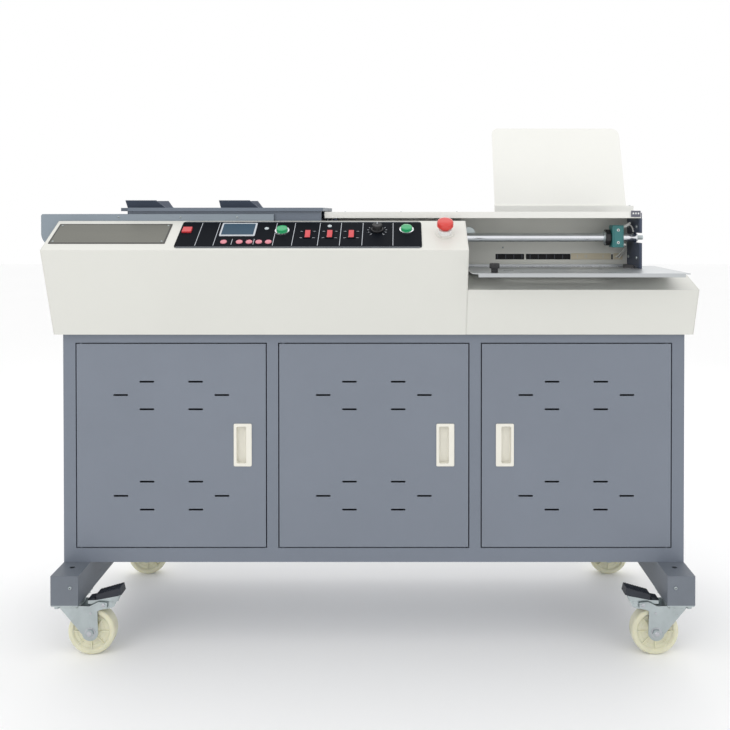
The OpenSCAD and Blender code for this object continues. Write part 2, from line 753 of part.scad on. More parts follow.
// A tube swept along points, with its cross-section's first axis along Y
function tangent(p, i) =
    let (d = i == 0 ? p[1] - p[0] : i == len(p) - 1 ? p[i] - p[i - 1] : p[i + 1] - p[i - 1])
    d / norm(d);
module tube(p, r, n = 8) {
    rings = [for (i = [0:len(p) - 1])
        let (t = tangent(p, i), a = cross(t, [0, 0, 1]), u = a / norm(a), v = cross(u, t))
        for (k = [0:n - 1]) p[i] + r * (cos(360 * k / n) * u + sin(360 * k / n) * v)];
    last = (len(p) - 1) * n;
    sides = [for (i = [0:len(p) - 2], k = [0:n - 1])
        let (a = i * n + k, b = i * n + (k + 1) % n)
        each [[a, b, b + n], [a, b + n, a + n]]];
    caps = [[for (k = [n - 1:-1:0]) k], [for (k = [0:n - 1]) last + k]];
    polyhedron(rings, concat(sides, caps));
}

// A quadratic curve through three control points
function bend(a, b, c, n = 10) =
    [for (i = [0:n]) let (t = i / n) (1 - t) * (1 - t) * a + 2 * t * (1 - t) * b + t * t * c];

// The sensor's leads: one over the top to the end plate, two back to the recess wall
module sensor_wires() color([0.92, 0.92, 0.90]) {
    y = shaft_front;
    wall = recess_y - 1.3;
    tube(bend([560.2, y - 8, 908], [580, y - 8, 926], [end_x - 7.8, y - 2, 900]), 1.5);
    tube(bend([560.2, y - 14, 871], [580, y + 10, 868], [561, wall, 840]), 1.5);
    tube(bend([560.2, y - 4, 870], [584, y + 16, 872], [568, wall, 838]), 1.5);
}

// Sheet that the covers lean on, folded over its foot on the rear rail
module back_board() color([0.88, 0.88, 0.85])
{
    foot = [rail_y[0] + 4, rail_z[1]];
    difference() {
        translate([0, foot[0], foot[1]]) rotate([-board_lean, 0, 0]) along_y(0, sheet) board_face();
        box([board_x[0] - 1, rail_y[0] - 10, foot[1] - 20], [board_x[1] + 1, rail_y[1] + 10, foot[1]]);
    }
    box([board_x[0], foot[0], foot[1]], [board_x[1], rail_y[1], foot[1] + sheet]);
}

module board_face() {
    low = -4;
    r = [16, 20];
    translate([board_x[0], low]) square([board_x[1] - board_x[0], board_h - r[1] - low]);
    translate([board_x[0] + r[0], board_h - r[1] - 0.01])
        square([board_x[1] - board_x[0] - r[0] - r[1], r[1] + 0.01]);
    translate([board_x[0] + r[0], board_h - r[0]]) circle(r[0]);
    translate([board_x[0], board_h - r[1]]) square([r[0], r[1] - r[0]]);
    translate([board_x[1] - r[1], board_h - r[1]]) circle(r[1]);
}

// ---- internals ----

// Open heated tank with bearings for the two rollers, on its stand
module glue_tank() color([0.70, 0.72, 0.74]) {
    difference() {
        box([tank_x[0], tank_y[0], tank_z[0]], [tank_x[1], tank_y[1], tank_z[1]]);
        box([tank_x[0] + tank_wall, tank_y[0] + tank_wall, tank_z[0] + tank_wall],
            [tank_x[1] - tank_wall, tank_y[1] - tank_wall, tank_z[1] + 1]);
        for (x = roller_x) translate([x, tank_y[1] + 1, roller_z]) rotate([90, 0, 0])
            cylinder(h = tank_y[1] - tank_y[0] + 2, r = journal_r + running);
    }
    box([tank_x[0] + 15, tank_y[0] + 16, bed_top], [tank_x[1] - 15, tank_y[1] - 16, tank_z[0]]);
}

module glue_roller(i) color([0.75, 0.76, 0.78])
translate([roller_x[i], 0, roller_z]) {
    translate([0, roller_y[1], 0]) rotate([90, 0, 0])
        cylinder(h = roller_y[1] - roller_y[0], r = roller_r);
    translate([0, tank_y[1] + 2, 0]) rotate([90, 0, 0])
        cylinder(h = tank_y[1] - tank_y[0] + 4, r = journal_r);
}

// Milling motor under the cutter, and the carriage's gear motor
module motors() color([0.30, 0.32, 0.36]) {
    translate([cutter_x, cutter_y, 0]) {
        translate([0, 0, bed_top + 60]) cylinder(h = 110, r = 38);
        box([-40, -40, bed_top], [40, 40, bed_top + 60]);
        translate([0, 0, bed_top + 60]) cylinder(h = cutter_z[1] - bed_top - 63, r = cutter_bore);
    }
    box([-620, 170, bed_top], [-500, 250, bed_top + 90]);
    translate([-500, 210, bed_top + 45]) rotate([0, 90, 0]) cylinder(h = 90, r = 36);
}

module mill_cutter() color([0.62, 0.64, 0.67])
translate([cutter_x, cutter_y, cutter_z[0]]) difference() {
    h = cutter_z[1] - cutter_z[0];
    cylinder(h = h, r = cutter_r);
    translate([0, 0, -1]) cylinder(h = h + 2, r = cutter_bore + running);
    for (a = [0:30:330]) rotate([0, 0, a]) translate([cutter_r - 3, -3, h - 5]) cube([8, 6, 8]);
}

// Table that presses the cover up against the spine, on its two guide legs
module nip_table() color([0.62, 0.64, 0.67]) {
    difference() {
        box([nip_x[0], nip_y[0], nip_z[0]], [nip_x[1], nip_y[1], nip_z[1]]);
        for (x = [nip_x[0] + 100:100:nip_x[1] - 60])
            translate([x, nip_y[0] + 12, nip_z[0] - 1]) cylinder(h = 30, r = 4);
    }
    for (x = nip_leg) difference() {
        box([x - 14, nip_y[0] + 30, bed_top + 12], [x + 14, nip_y[1] - 30, nip_z[0]]);
        translate([x, (nip_y[0] + nip_y[1]) / 2, bed_top])
            cylinder(h = 165, r = column_r + running);
    }
}

// ---- carriage ----

module carriage() color([0.50, 0.54, 0.60]) {
    top = plate_z + plate_t;
    window = [[clamp_left + 14, gap_y, plate_z - 1], [clamp_right - 14, shaft_rear - 18, top + 1]];
    difference() {
        union() {
            box([front_left, hood_y - 1, plate_z], [clamp_right, jaw_y, top]);
            box([clamp_left, 100, plate_z], [clamp_right, 281, top]);
        }
        box(window[0], window[1]);
    }
    box([front_left, apron[0], 906], [clamp_right - 4, apron[1], plate_z]);
    box([clamp_left, jaw_y, jaw_low], [clamp_right, gap_y, plate_z]);
    for (x = front_blocks) {
        box([x, apron[1], 906], [x + block_l, shaft_front + block[0] / 2, 912]);
        bearing_block(x, shaft_front);
    }
    for (x = rear_blocks) {
        bearing_block(x, shaft_rear);
        difference() {
            box([x, shaft_rear - block[0] / 2, shaft_z + block[1] / 2 - 2],
                [x + block_l, shaft_rear + block[0] / 2, plate_z]);
            rods(0);
        }
    }
    rods(0);
    for (x = wing_left) front_guide(x);
}

module bearing_block(x, y) difference() {
    box([x, y - block[0] / 2, shaft_z - block[1] / 2],
        [x + block_l, y + block[0] / 2, shaft_z + block[1] / 2 - 2]);
    shaft_bar(y, shaft_r + running, x - 1, x + block_l + 1);
}

// The moving jaw's guide rods, from the fixed jaw to the rear blocks
module rods(extra) {
    for (x = rod_x) translate([x, shaft_rear - block[0] / 2 + 10, rod_z]) rotate([90, 0, 0])
        cylinder(h = shaft_rear - block[0] / 2 + 10 - gap_y, r = rod_r + extra);
}

// A front book guide, leaning forward from the plate
module front_guide(x) {
    foot = plate_z + plate_t;
    slant = (wing_h - foot) / cos(wing_lean);
    translate([x, jaw_y - 4, foot - 1]) rotate([90 + wing_lean, 0, 0]) linear_extrude(sheet)
        polygon([[0, -1], [wing_l, -1], [wing_l - 24, slant], [-3, slant]]);
}

// The clamp's moving jaw, on its rods, with the rear book guides
module moving_jaw() color([0.45, 0.49, 0.56]) {
    y0 = gap_y + clamp_gap;
    top = plate_z - 1.5;
    difference() {
        box([clamp_left + 1, y0, jaw_low], [clamp_right - 1, y0 + moving_t, top]);
        rods(running);
        rod_holes();
    }
    foot = plate_z + plate_t + 2;
    for (x = wing_left) {
        box([x + 16, y0 + 3, top - 1], [x + wing_l - 6, y0 + 3 + sheet, foot]);
        translate([x + 16, y0 + 3, foot - 1]) rotate([90 - wing_lean, 0, 0])
            translate([0, 0, -sheet]) linear_extrude(sheet)
                polygon([[0, 0], [wing_l - 22, 0], [wing_l - 36, 19], [4, 19]]);
    }
}

// Keeps the jaw clear of its rods over the whole travel
module rod_holes() {
    for (x = rod_x) translate([x, shaft_rear, rod_z]) rotate([90, 0, 0])
        cylinder(h = 150, r = rod_r + running);
}

// ---- controls ----

module nameplate() color([0.49, 0.49, 0.46])
on_slope([(name_x[0] + name_x[1]) / 2, (name_s[0] + name_s[1]) / 2])
    linear_extrude(1.2) round_rect(name_x[1] - name_x[0], name_s[1] - name_s[0], 2);

// Overlay plate, the push buttons' rings, the rockers' frames, the dial ring and the stop's collar
module control_panel() color([0.10, 0.12, 0.17]) {
    mid = [(panel_x[0] + panel_x[1]) / 2, (panel_s[0] + panel_s[1]) / 2];
    size = [panel_x[1] - panel_x[0], panel_s[1] - panel_s[0]];
    difference() {
        on_slope(mid) linear_extrude(panel_t) round_rect(size[0], size[1], 8);
        for (at = push_at) on_slope(at, -1) cylinder(h = 5, r = ring_r - 2);
        for (at = menu_at) on_slope(at, -1) cylinder(h = 5, r = menu_r + gap);
        on_slope(knob_dial, -1) cylinder(h = 5, r = 4 + gap);
        for (at = switch_at) on_slope(at, -1)
            linear_extrude(5) square(rocker + [3, 5], center = true);
        on_slope(power_at, -1) linear_extrude(5) square(power_w + 2 * gap, center = true);
        on_slope([(display_x[0] + display_x[1]) / 2, (display_s[0] + display_s[1]) / 2], -1)
            linear_extrude(5) square([60, 36], center = true);
    }
    for (at = push_at) ring(at, push_r + gap, ring_r, 5);
    for (at = switch_at) on_slope(at, panel_t) linear_extrude(1.5) difference() {
        square(rocker + [6, 8], center = true);
        square(rocker + [1.2, 4], center = true);
    }
    on_slope(stop_at) difference() {
        union() {
            cylinder(h = 2, r = 20);
            cylinder(h = 12, r = 14);
        }
        translate([0, 0, -1]) cylinder(h = 14, r = 9 + gap);
    }
}

module ring(at, r0, r1, h) on_slope(at) difference() {
    union() {
        translate([0, 0, panel_t]) cylinder(h = h - panel_t, r = r1);
        cylinder(h = panel_t, r = r1 - 2.2);
    }
    translate([0, 0, -1]) cylinder(h = h + 2, r = r0);
}

module display() color([0.20, 0.33, 0.42])
on_slope([(display_x[0] + display_x[1]) / 2, (display_s[0] + display_s[1]) / 2]) {
    size = [display_x[1] - display_x[0], display_s[1] - display_s[0]];
    translate([0, 0, panel_t]) linear_extrude(1.5) round_rect(size[0], size[1], 2);
    translate([0, 0, -5]) linear_extrude(5 + panel_t) square([59, 35], center = true);
}

// A round cap that slides in its ring, with its stem behind the panel
module push_cap(at, r, top, stem) on_slope(at) {
    translate([0, 0, -stem]) cylinder(h = stem + top, r = r);
}

module power_button() color([0.80, 0.18, 0.24])
on_slope(power_at, -3) linear_extrude(8) square(power_w, center = true);

module menu_button(i) color([0.88, 0.59, 0.63]) push_cap(menu_at[i], menu_r, 3.5, 3);
module start_button() color([0.08, 0.63, 0.35]) push_cap(push_at[0], push_r, 11.5, 4);
module reset_button() color([0.08, 0.63, 0.35]) push_cap(push_at[1], push_r, 11.5, 4);

// Rocker tilted on its pivot, which lies across it below the panel
module mode_switch(i) color([0.80, 0.20, 0.22])
on_slope(switch_at[i]) rotate([rocker_tilt, 0, 0]) {
    l = rocker[1] / 2;
    along_x(-rocker[0] / 2, rocker[0] / 2) polygon([[-l, 1], [-l, 4.5], [0, 3], [l, 4.5], [l, 1],
        [3, -4], [-3, -4]]);
    rotate([0, 90, 0]) cylinder(h = rocker[0] + 1, r = 1.5, center = true);
}

module speed_knob() color([0.08, 0.08, 0.09])
on_slope(knob_dial) {
    translate([0, 0, -6]) cylinder(h = 8, r = 4);
    translate([0, 0, panel_t + gap]) cylinder(h = 4, r = 13);
    translate([0, 0, panel_t + gap + 4]) cylinder(h = 11, r = 10.5);
    translate([-1.5, 3, panel_t + gap + 14]) cube([3, 7, 2]);
}

// Mushroom head on its stem through the collar
module emergency_stop() color([0.86, 0.20, 0.20])
on_slope(stop_at) {
    translate([0, 0, -6]) cylinder(h = 26, r = 9);
    translate([0, 0, 18]) rotate_extrude()
        polygon([[0, 0], [15, 0], [stop_r, 3], [stop_r, 10], [15.5, 14], [0, 16]]);
}

// ---- the nodes ----

place() cabinet_frame();
place() cabinet_shell();
place() skids();
place() caster_plates();
place() bed_plate();
place() front_fascia();
place() right_fascia();
place() end_panels();
place() rear_cover();
place() hood();
place() cover_table();
place() table_frame();
place() recess_wall();
place() delivery_tray();
place() guide_shafts();
place() end_sensor();
place() sensor_wires();
place() nameplate();
place() control_panel();
place() display();
place() back_board();
place() mains_inlet();
place() glue_tank();
place() motors();
place() door(0);  // door_left
place() door(1);  // door_middle
place() door(2);  // door_right
place() pull(0);  // pull_left
place() pull(1);  // pull_middle
place() pull(2);  // pull_right
place() fork(-1, swivel_y[0], true);  // fork_front_left
place() fork(1, swivel_y[0], true);  // fork_front_right
place() fork(-1, swivel_y[1], false);  // fork_rear_left
place() fork(1, swivel_y[1], false);  // fork_rear_right
place() wheel(-1, swivel_y[0]);  // wheel_front_left
place() wheel(1, swivel_y[0]);  // wheel_front_right
place() wheel(-1, swivel_y[1]);  // wheel_rear_left
place() wheel(1, swivel_y[1]);  // wheel_rear_right
place() brake_pedal(-1);  // brake_pedal_left
place() brake_pedal(1);  // brake_pedal_right
place() power_button();
place() menu_button(0);  // menu_button_1
place() menu_button(1);  // menu_button_2
place() menu_button(2);  // menu_button_3
place() menu_button(3);  // menu_button_4
place() menu_button(4);  // menu_button_5
place() start_button();
place() reset_button();
place() mode_switch(0);  // mode_switch_1
place() mode_switch(1);  // mode_switch_2
place() mode_switch(2);  // mode_switch_3
place() speed_knob();
place() emergency_stop();
place() carriage();
place() moving_jaw();
place() glue_roller(0);  // glue_roller_1
place() glue_roller(1);  // glue_roller_2
place() mill_cutter();
place() nip_table();
place() tray_knob();
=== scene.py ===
import json
import math

import bmesh
import bpy
from mathutils import Matrix, Vector


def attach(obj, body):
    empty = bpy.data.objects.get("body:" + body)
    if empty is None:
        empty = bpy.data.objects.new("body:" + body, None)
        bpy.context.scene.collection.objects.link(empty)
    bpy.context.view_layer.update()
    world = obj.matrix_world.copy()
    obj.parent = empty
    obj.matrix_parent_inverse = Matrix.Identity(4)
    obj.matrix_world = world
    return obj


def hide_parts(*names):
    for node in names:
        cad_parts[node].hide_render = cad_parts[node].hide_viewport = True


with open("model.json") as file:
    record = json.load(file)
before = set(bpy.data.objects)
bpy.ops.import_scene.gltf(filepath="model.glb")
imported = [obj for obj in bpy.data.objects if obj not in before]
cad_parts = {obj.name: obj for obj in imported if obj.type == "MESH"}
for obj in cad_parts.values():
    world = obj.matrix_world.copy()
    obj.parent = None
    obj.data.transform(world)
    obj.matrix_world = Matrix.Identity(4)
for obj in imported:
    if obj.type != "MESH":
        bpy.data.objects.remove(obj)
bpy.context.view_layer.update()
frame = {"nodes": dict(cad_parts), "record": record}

scene = bpy.context.scene
nodes = frame["nodes"]


# ---- places: X from the cabinet's middle, Y from the door fronts, Z up, in millimetres ----

machineAt = Vector((20, -160, 0))  # the cabinet's middle, from the middle of the whole outline


def mm(value):  # millimetres in metres
    return value / 1000


def spot(x, y, z):
    return (Vector((x, y, z)) + machineAt) / 1000


def machinePlace(face):  # a face's middle in the machine's own millimetres
    return face.calc_center_median() * 1000 - machineAt


def aimed(at, axis):  # a matrix that turns Z to an axis, or the matrix that was given
    if isinstance(at, Matrix):
        return at
    tilt = Vector((0, 0, 1)).rotation_difference(Vector(axis)).to_matrix().to_4x4()
    return Matrix.Translation(at) @ tilt


slope = {"nose": (0, -85, 865), "run": 103, "rise": 60}  # the control slope
slopeFrame = Matrix.Translation(spot(*slope["nose"])) \
    @ Matrix.Rotation(math.atan2(slope["rise"], slope["run"]), 4, "X")


def slopeSpot(x, up, lift=0):  # a place on the control slope: across, up it, and off it
    return slopeFrame @ Matrix.Translation((mm(x), mm(up), mm(lift)))


# ---- finishes ----

def link(material, fromNode, fromSocket, toNode, toSocket):
    material.node_tree.links.new(fromNode.outputs[fromSocket], toNode.inputs[toSocket])


def addNode(material, kind, **settings):
    node = material.node_tree.nodes.new("ShaderNode" + kind)
    for key, value in settings.items():
        if key in node.inputs:
            node.inputs[key].default_value = value
        else:
            setattr(node, key, value)
    return node


def multiplyColours(material, first, second, shader):
    mix = addNode(material, "Mix", data_type="RGBA", blend_type="MULTIPLY")
    factor, a, b, result = mix.inputs[0], mix.inputs[6], mix.inputs[7], mix.outputs[2]
    factor.default_value = 1
    material.node_tree.links.new(first.outputs["Color"], a)
    material.node_tree.links.new(second.outputs["Color"], b)
    material.node_tree.links.new(result, shader.inputs["Base Color"])


def shade(colour, factor):
    return tuple(min(1, max(0, c * factor)) for c in colour[:3]) + (1,)


# A finish has broad clouds of tone, a fine grain in its bump, and its own gloss
def makeFinish(key, name, colour, rough=0.45, metal=0.0, mottle=0.06, mottleScale=6, grain=700,
               grainHeight=0.05, stretch=(1, 1, 1), coat=0.0, soft=0.0, roughSpread=0.08,
               glow=0.0, speck=0.0, ior=1.5, gloss=0.5):
    material = bpy.data.materials.new(name)
    material.use_nodes = True
    material.diffuse_color = tuple(colour) + (1,)
    shader = material.node_tree.nodes["Principled BSDF"]
    shader.inputs["Metallic"].default_value = metal
    shader.inputs["IOR"].default_value = ior
    shader.inputs["Specular IOR Level"].default_value = gloss
    if coat:
        shader.inputs["Coat Weight"].default_value = coat
        shader.inputs["Coat Roughness"].default_value = 0.12
    if soft:
        shader.inputs["Subsurface Weight"].default_value = soft
        shader.inputs["Subsurface Radius"].default_value = (0.6, 0.5, 0.3)
        shader.inputs["Subsurface Scale"].default_value = 0.008
    if glow:
        shader.inputs["Emission Color"].default_value = tuple(colour) + (1,)
        shader.inputs["Emission Strength"].default_value = glow

    place = addNode(material, "TexCoord")
    turn = addNode(material, "Mapping", Scale=stretch)
    link(material, place, "Object", turn, "Vector")
    clouds = addNode(material, "TexNoise", Scale=mottleScale, Detail=6.0, Roughness=0.6)
    link(material, turn, "Vector", clouds, "Vector")
    ramp = addNode(material, "ValToRGB")
    ramp.color_ramp.elements[0].position = 0.3
    ramp.color_ramp.elements[1].position = 0.72
    ramp.color_ramp.elements[0].color = shade(colour, 1 - mottle)
    ramp.color_ramp.elements[1].color = shade(colour, 1 + mottle * 0.6)
    link(material, clouds, "Fac", ramp, "Fac")
    fine = addNode(material, "TexNoise", Scale=grain, Detail=3.0, Roughness=0.55)
    link(material, turn, "Vector", fine, "Vector")
    if speck:  # tiny dark flecks in the coat
        flecks = addNode(material, "ValToRGB")
        flecks.color_ramp.elements[0].position = 0.30
        flecks.color_ramp.elements[0].color = (1 - speck,) * 3 + (1,)
        flecks.color_ramp.elements[1].position = 0.42
        flecks.color_ramp.elements[1].color = (1, 1, 1, 1)
        link(material, fine, "Fac", flecks, "Fac")
        multiplyColours(material, ramp, flecks, shader)
    else:
        link(material, ramp, "Color", shader, "Base Color")
    spread = addNode(material, "MapRange")
    spread.inputs["To Min"].default_value = max(0.02, rough - roughSpread)
    spread.inputs["To Max"].default_value = min(1, rough + roughSpread)
    link(material, clouds, "Fac", spread, "Value")
    link(material, spread, "Result", shader, "Roughness")
    bump = addNode(material, "Bump", Strength=grainHeight, Distance=0.001)
    link(material, fine, "Fac", bump, "Height")
    link(material, bump, "Normal", shader, "Normal")
    finishes[key] = material


finishes = {}
makeFinish("cream", "creamPowderCoat", (0.70, 0.70, 0.655), 0.42, mottle=0.02, mottleScale=3,
           grain=850, grainHeight=0.10, speck=0.03)
# painted shade: a slightly darker copy of the cream paint for the end panels, rear cover, recess wall
# and tray supports, faces that get less light
makeFinish("creamPaintedShade", "creamPaintedShadeCoat", (0.68, 0.68, 0.635), 0.44, mottle=0.025, mottleScale=4,
           grain=850, grainHeight=0.10, speck=0.03)
# painted light: a lighter copy of the cream paint for the cover table and back board, faces that catch
# more light
makeFinish("creamPaintedLight", "creamPaintedLightCoat", (0.84, 0.84, 0.80), 0.42, mottle=0.02, mottleScale=3,
           grain=850, grainHeight=0.10, speck=0.03)
makeFinish("cabinet", "cabinetPowderCoat", (0.175, 0.20, 0.245), 0.46, mottle=0.05, mottleScale=4,
           grain=900, grainHeight=0.16, speck=0.10)
makeFinish("door", "doorPowderCoat", (0.185, 0.21, 0.255), 0.44, mottle=0.04, mottleScale=5,
           grain=900, grainHeight=0.16, speck=0.10)
makeFinish("skid", "skidPaint", (0.15, 0.17, 0.20), 0.5, mottle=0.10, mottleScale=14, grain=700,
           grainHeight=0.18, speck=0.10)
makeFinish("hood", "hoodPaint", (0.245, 0.29, 0.335), 0.42, mottle=0.04, mottleScale=5, grain=850,
           grainHeight=0.12, speck=0.06)
makeFinish("wing", "guidePaint", (0.078, 0.095, 0.132), 0.46, mottle=0.08, mottleScale=18,
           grain=850, grainHeight=0.12)
makeFinish("darkFrame", "framePaint", (0.045, 0.06, 0.10), 0.45, mottle=0.10, mottleScale=12,
           grain=800, grainHeight=0.14)
makeFinish("zinc", "zincPlate", (0.46, 0.51, 0.52), 0.30, metal=0.9, mottle=0.12, mottleScale=34,
           grain=300, grainHeight=0.08, roughSpread=0.07)
makeFinish("bed", "primer", (0.10, 0.11, 0.125), 0.6, mottle=0.12, mottleScale=9, grain=500,
           grainHeight=0.2)
makeFinish("tray", "brushedSheet", (0.50, 0.52, 0.53), 0.36, metal=0.8, mottle=0.05,
           mottleScale=14, grain=180, grainHeight=0.05, stretch=(0.05, 1, 1))
makeFinish("tank", "castAluminium", (0.50, 0.51, 0.52), 0.45, metal=0.9, mottle=0.12,
           mottleScale=30, grain=420, grainHeight=0.16)
makeFinish("shaft", "hardChrome", (0.78, 0.80, 0.83), 0.10, metal=1.0, mottle=0.03, mottleScale=8,
           grain=900, grainHeight=0.02, stretch=(3, 1, 1), roughSpread=0.04)
makeFinish("steel", "groundSteel", (0.50, 0.51, 0.54), 0.28, metal=1.0, mottle=0.08,
           mottleScale=20, grain=500, grainHeight=0.06, stretch=(1, 0.2, 1))
makeFinish("sensor", "tealMoulding", (0.035, 0.20, 0.20), 0.42, mottle=0.08, mottleScale=60,
           grain=1200, grainHeight=0.08, coat=0.15)
makeFinish("wire", "whiteSheath", (0.80, 0.80, 0.77), 0.45, mottle=0.05, mottleScale=90, grain=900,
           grainHeight=0.06)
makeFinish("nameplate", "dullPlate", (0.17, 0.17, 0.148), 0.42, metal=0.45, mottle=0.08,
           mottleScale=30, grain=260, grainHeight=0.05, stretch=(0.08, 1, 1))
makeFinish("plateBorder", "plateBorder", (0.05, 0.05, 0.045), 0.4, mottle=0.1, mottleScale=60,
           grain=700, grainHeight=0.05)
makeFinish("panel", "panelOverlay", (0.005, 0.0065, 0.010), 0.55, mottle=0.15, mottleScale=25,
           grain=1400, grainHeight=0.05, ior=1.3, gloss=0.12)
makeFinish("panelEdge", "panelEdge", (0.32, 0.35, 0.38), 0.35, mottle=0.08, mottleScale=25,
           grain=900, grainHeight=0.04)
makeFinish("print", "panelPrint", (0.55, 0.58, 0.62), 0.4, mottle=0.08, mottleScale=80, grain=900,
           grainHeight=0.03)
makeFinish("black", "blackMoulding", (0.012, 0.012, 0.014), 0.38, mottle=0.2, mottleScale=50,
           grain=1300, grainHeight=0.10)
makeFinish("motor", "motorPaint", (0.06, 0.07, 0.085), 0.42, mottle=0.1, mottleScale=20, grain=500,
           grainHeight=0.2)
makeFinish("pull", "creamMoulding", (0.80, 0.78, 0.70), 0.35, mottle=0.02, mottleScale=30,
           grain=1100, grainHeight=0.05, coat=0.2)
makeFinish("wheel", "creamNylon", (0.70, 0.685, 0.52), 0.36, mottle=0.07, mottleScale=28,
           grain=500, grainHeight=0.06, soft=0.35, coat=0.1)
makeFinish("rubber", "pedalRubber", (0.018, 0.022, 0.032), 0.55, mottle=0.2, mottleScale=60,
           grain=900, grainHeight=0.2)
makeFinish("red", "redMoulding", (0.60, 0.035, 0.045), 0.30, mottle=0.05, mottleScale=60,
           grain=1100, grainHeight=0.04, coat=0.3)
makeFinish("stopRed", "stopRed", (0.66, 0.045, 0.035), 0.30, mottle=0.04, mottleScale=50,
           grain=1000, grainHeight=0.04, coat=0.4)
makeFinish("pink", "pinkKey", (0.70, 0.25, 0.30), 0.38, mottle=0.04, mottleScale=80, grain=1200,
           grainHeight=0.05, soft=0.2)
makeFinish("green", "greenLens", (0.01, 0.34, 0.12), 0.20, mottle=0.10, mottleScale=90, grain=400,
           grainHeight=0.12, coat=0.4, glow=0.06)
makeFinish("lamp", "lampLens", (0.50, 0.56, 0.58), 0.25, mottle=0.15, mottleScale=240, grain=900,
           grainHeight=0.04, glow=0.15)
makeFinish("whitePlastic", "whiteMoulding", (0.75, 0.76, 0.75), 0.38, mottle=0.03, mottleScale=60,
           grain=1100, grainHeight=0.05)
# painted shade: near-black for the shade inside slots and screw crosses; also the ink of the scale's
# ticks
makeFinish("slotDark", "slotShadow", (0.01, 0.01, 0.012), 0.8, mottle=0.2, mottleScale=40,
           grain=600, grainHeight=0.1)
makeFinish("glue", "hotGlue", (0.55, 0.40, 0.18), 0.18, mottle=0.15, mottleScale=25, grain=60,
           grainHeight=0.25, soft=0.3, coat=0.3)
makeFinish("apron", "apronPaint", (0.15, 0.18, 0.225), 0.42, mottle=0.05, mottleScale=6, grain=850,
           grainHeight=0.12, speck=0.05)
makeFinish("brass", "brassContact", (0.62, 0.45, 0.18), 0.28, metal=1.0, mottle=0.08,
           mottleScale=60, grain=500, grainHeight=0.05)
makeFinish("strip", "paleStrip", (0.62, 0.56, 0.42), 0.5, mottle=0.12, mottleScale=40, grain=500,
           grainHeight=0.10, stretch=(0.2, 1, 1))
makeFinish("bracket", "greyBracket", (0.13, 0.13, 0.17), 0.4, metal=0.3, mottle=0.1,
           mottleScale=60, grain=800, grainHeight=0.08)
print("finishes made:", len(finishes))


# ---- mesh tools ----

def finishPiece(name, bm, finish, body, stands=(), sharp=34, extra=()):
    bmesh.ops.remove_doubles(bm, verts=bm.verts, dist=1e-6)
    bmesh.ops.recalc_face_normals(bm, faces=bm.faces)
    mesh = bpy.data.meshes.new(name)
    bm.to_mesh(mesh)
    bm.free()
    mesh.shade_smooth()
    mesh.set_sharp_from_angle(angle=math.radians(sharp))
    for face in mesh.polygons:  # broad sheet faces stay dead flat
        if face.area > 2e-4:
            face.use_smooth = False
    piece = bpy.data.objects.new(name, mesh)
    scene.collection.objects.link(piece)
    for one in (finish,) + tuple(extra):
        mesh.materials.append(finishes[one])
    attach(piece, body)
    if stands:
        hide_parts(*stands)
    return piece


def bevelSharp(bm, width, segments=2, over=40, edges=None):
    chosen = [e for e in (edges or bm.edges)
              if len(e.link_faces) == 2 and e.calc_face_angle(0) > math.radians(over)]
    if chosen:
        bmesh.ops.bevel(bm, geom=chosen, offset=width, offset_type="OFFSET", segments=segments,
                        profile=0.5, affect="EDGES", clamp_overlap=True, material=-1)


def addBlock(bm, low, high, edge=0.0, segments=2, frameOf=None, index=0):
    size = [h - l for l, h in zip(low, high)]
    middle = [(h + l) / 2 for l, h in zip(low, high)]
    part = bmesh.new()
    bmesh.ops.create_cube(part, size=1)
    bmesh.ops.scale(part, vec=[mm(s) for s in size], verts=part.verts)
    if edge:
        bmesh.ops.bevel(part, geom=part.edges[:], offset=mm(edge), offset_type="OFFSET",
                        segments=segments, profile=0.5, affect="EDGES", material=-1)
    at = (frameOf @ Matrix.Translation([mm(c) for c in middle]) if frameOf
          else Matrix.Translation(spot(*middle)))
    pour(bm, part, at, index)


def pour(bm, part, matrix, index=0):  # adds a small mesh to a piece, in its place
    bmesh.ops.recalc_face_normals(part, faces=part.faces)
    for face in part.faces:
        if index:
            face.material_index = index
    bmesh.ops.transform(part, matrix=matrix, verts=part.verts)
    mesh = bpy.data.meshes.new("part")
    part.to_mesh(mesh)
    part.free()
    bm.from_mesh(mesh)
    bpy.data.meshes.remove(mesh)


def turned(profile, steps=48):  # a profile of (radius, height) pairs, spun about Z
    part = bmesh.new()
    verts = [part.verts.new((mm(r), 0, mm(h))) for r, h in profile]
    edges = [part.edges.new(pair) for pair in zip(verts, verts[1:])]
    bmesh.ops.spin(part, geom=verts + edges, cent=(0, 0, 0), axis=(0, 0, 1),
                   angle=math.tau, steps=steps, use_merge=True)
    bmesh.ops.remove_doubles(part, verts=part.verts, dist=1e-7)
    bmesh.ops.recalc_face_normals(part, faces=part.faces)
    return part


def addTurned(bm, profile, at, axis=(0, 0, 1), steps=48, index=0):
    pour(bm, turned(profile, steps), aimed(at, axis), index)


def addBar(bm, at, radius, length, axis=(0, 0, 1), edge=0.4, steps=32, index=0):
    e = min(edge, radius * 0.5, length * 0.4)
    addTurned(bm, [(0, 0), (radius - e, 0), (radius - e * 0.3, e * 0.3), (radius, e),
                   (radius, length - e), (radius - e * 0.3, length - e * 0.3),
                   (radius - e, length), (0, length)], at, axis, steps, index)


def addHex(bm, at, across, height, axis=(0, 0, 1), index=0):  # size over its flats
    corner = mm(across / 2 / 0.866)
    part = bmesh.new()
    bmesh.ops.create_cone(part, cap_ends=True, segments=6, radius1=corner, radius2=corner,
                          depth=mm(height))
    bevelSharp(part, mm(0.5), 2, 70)
    pour(bm, part, aimed(at, axis) @ Matrix.Translation((0, 0, mm(height / 2))), index)


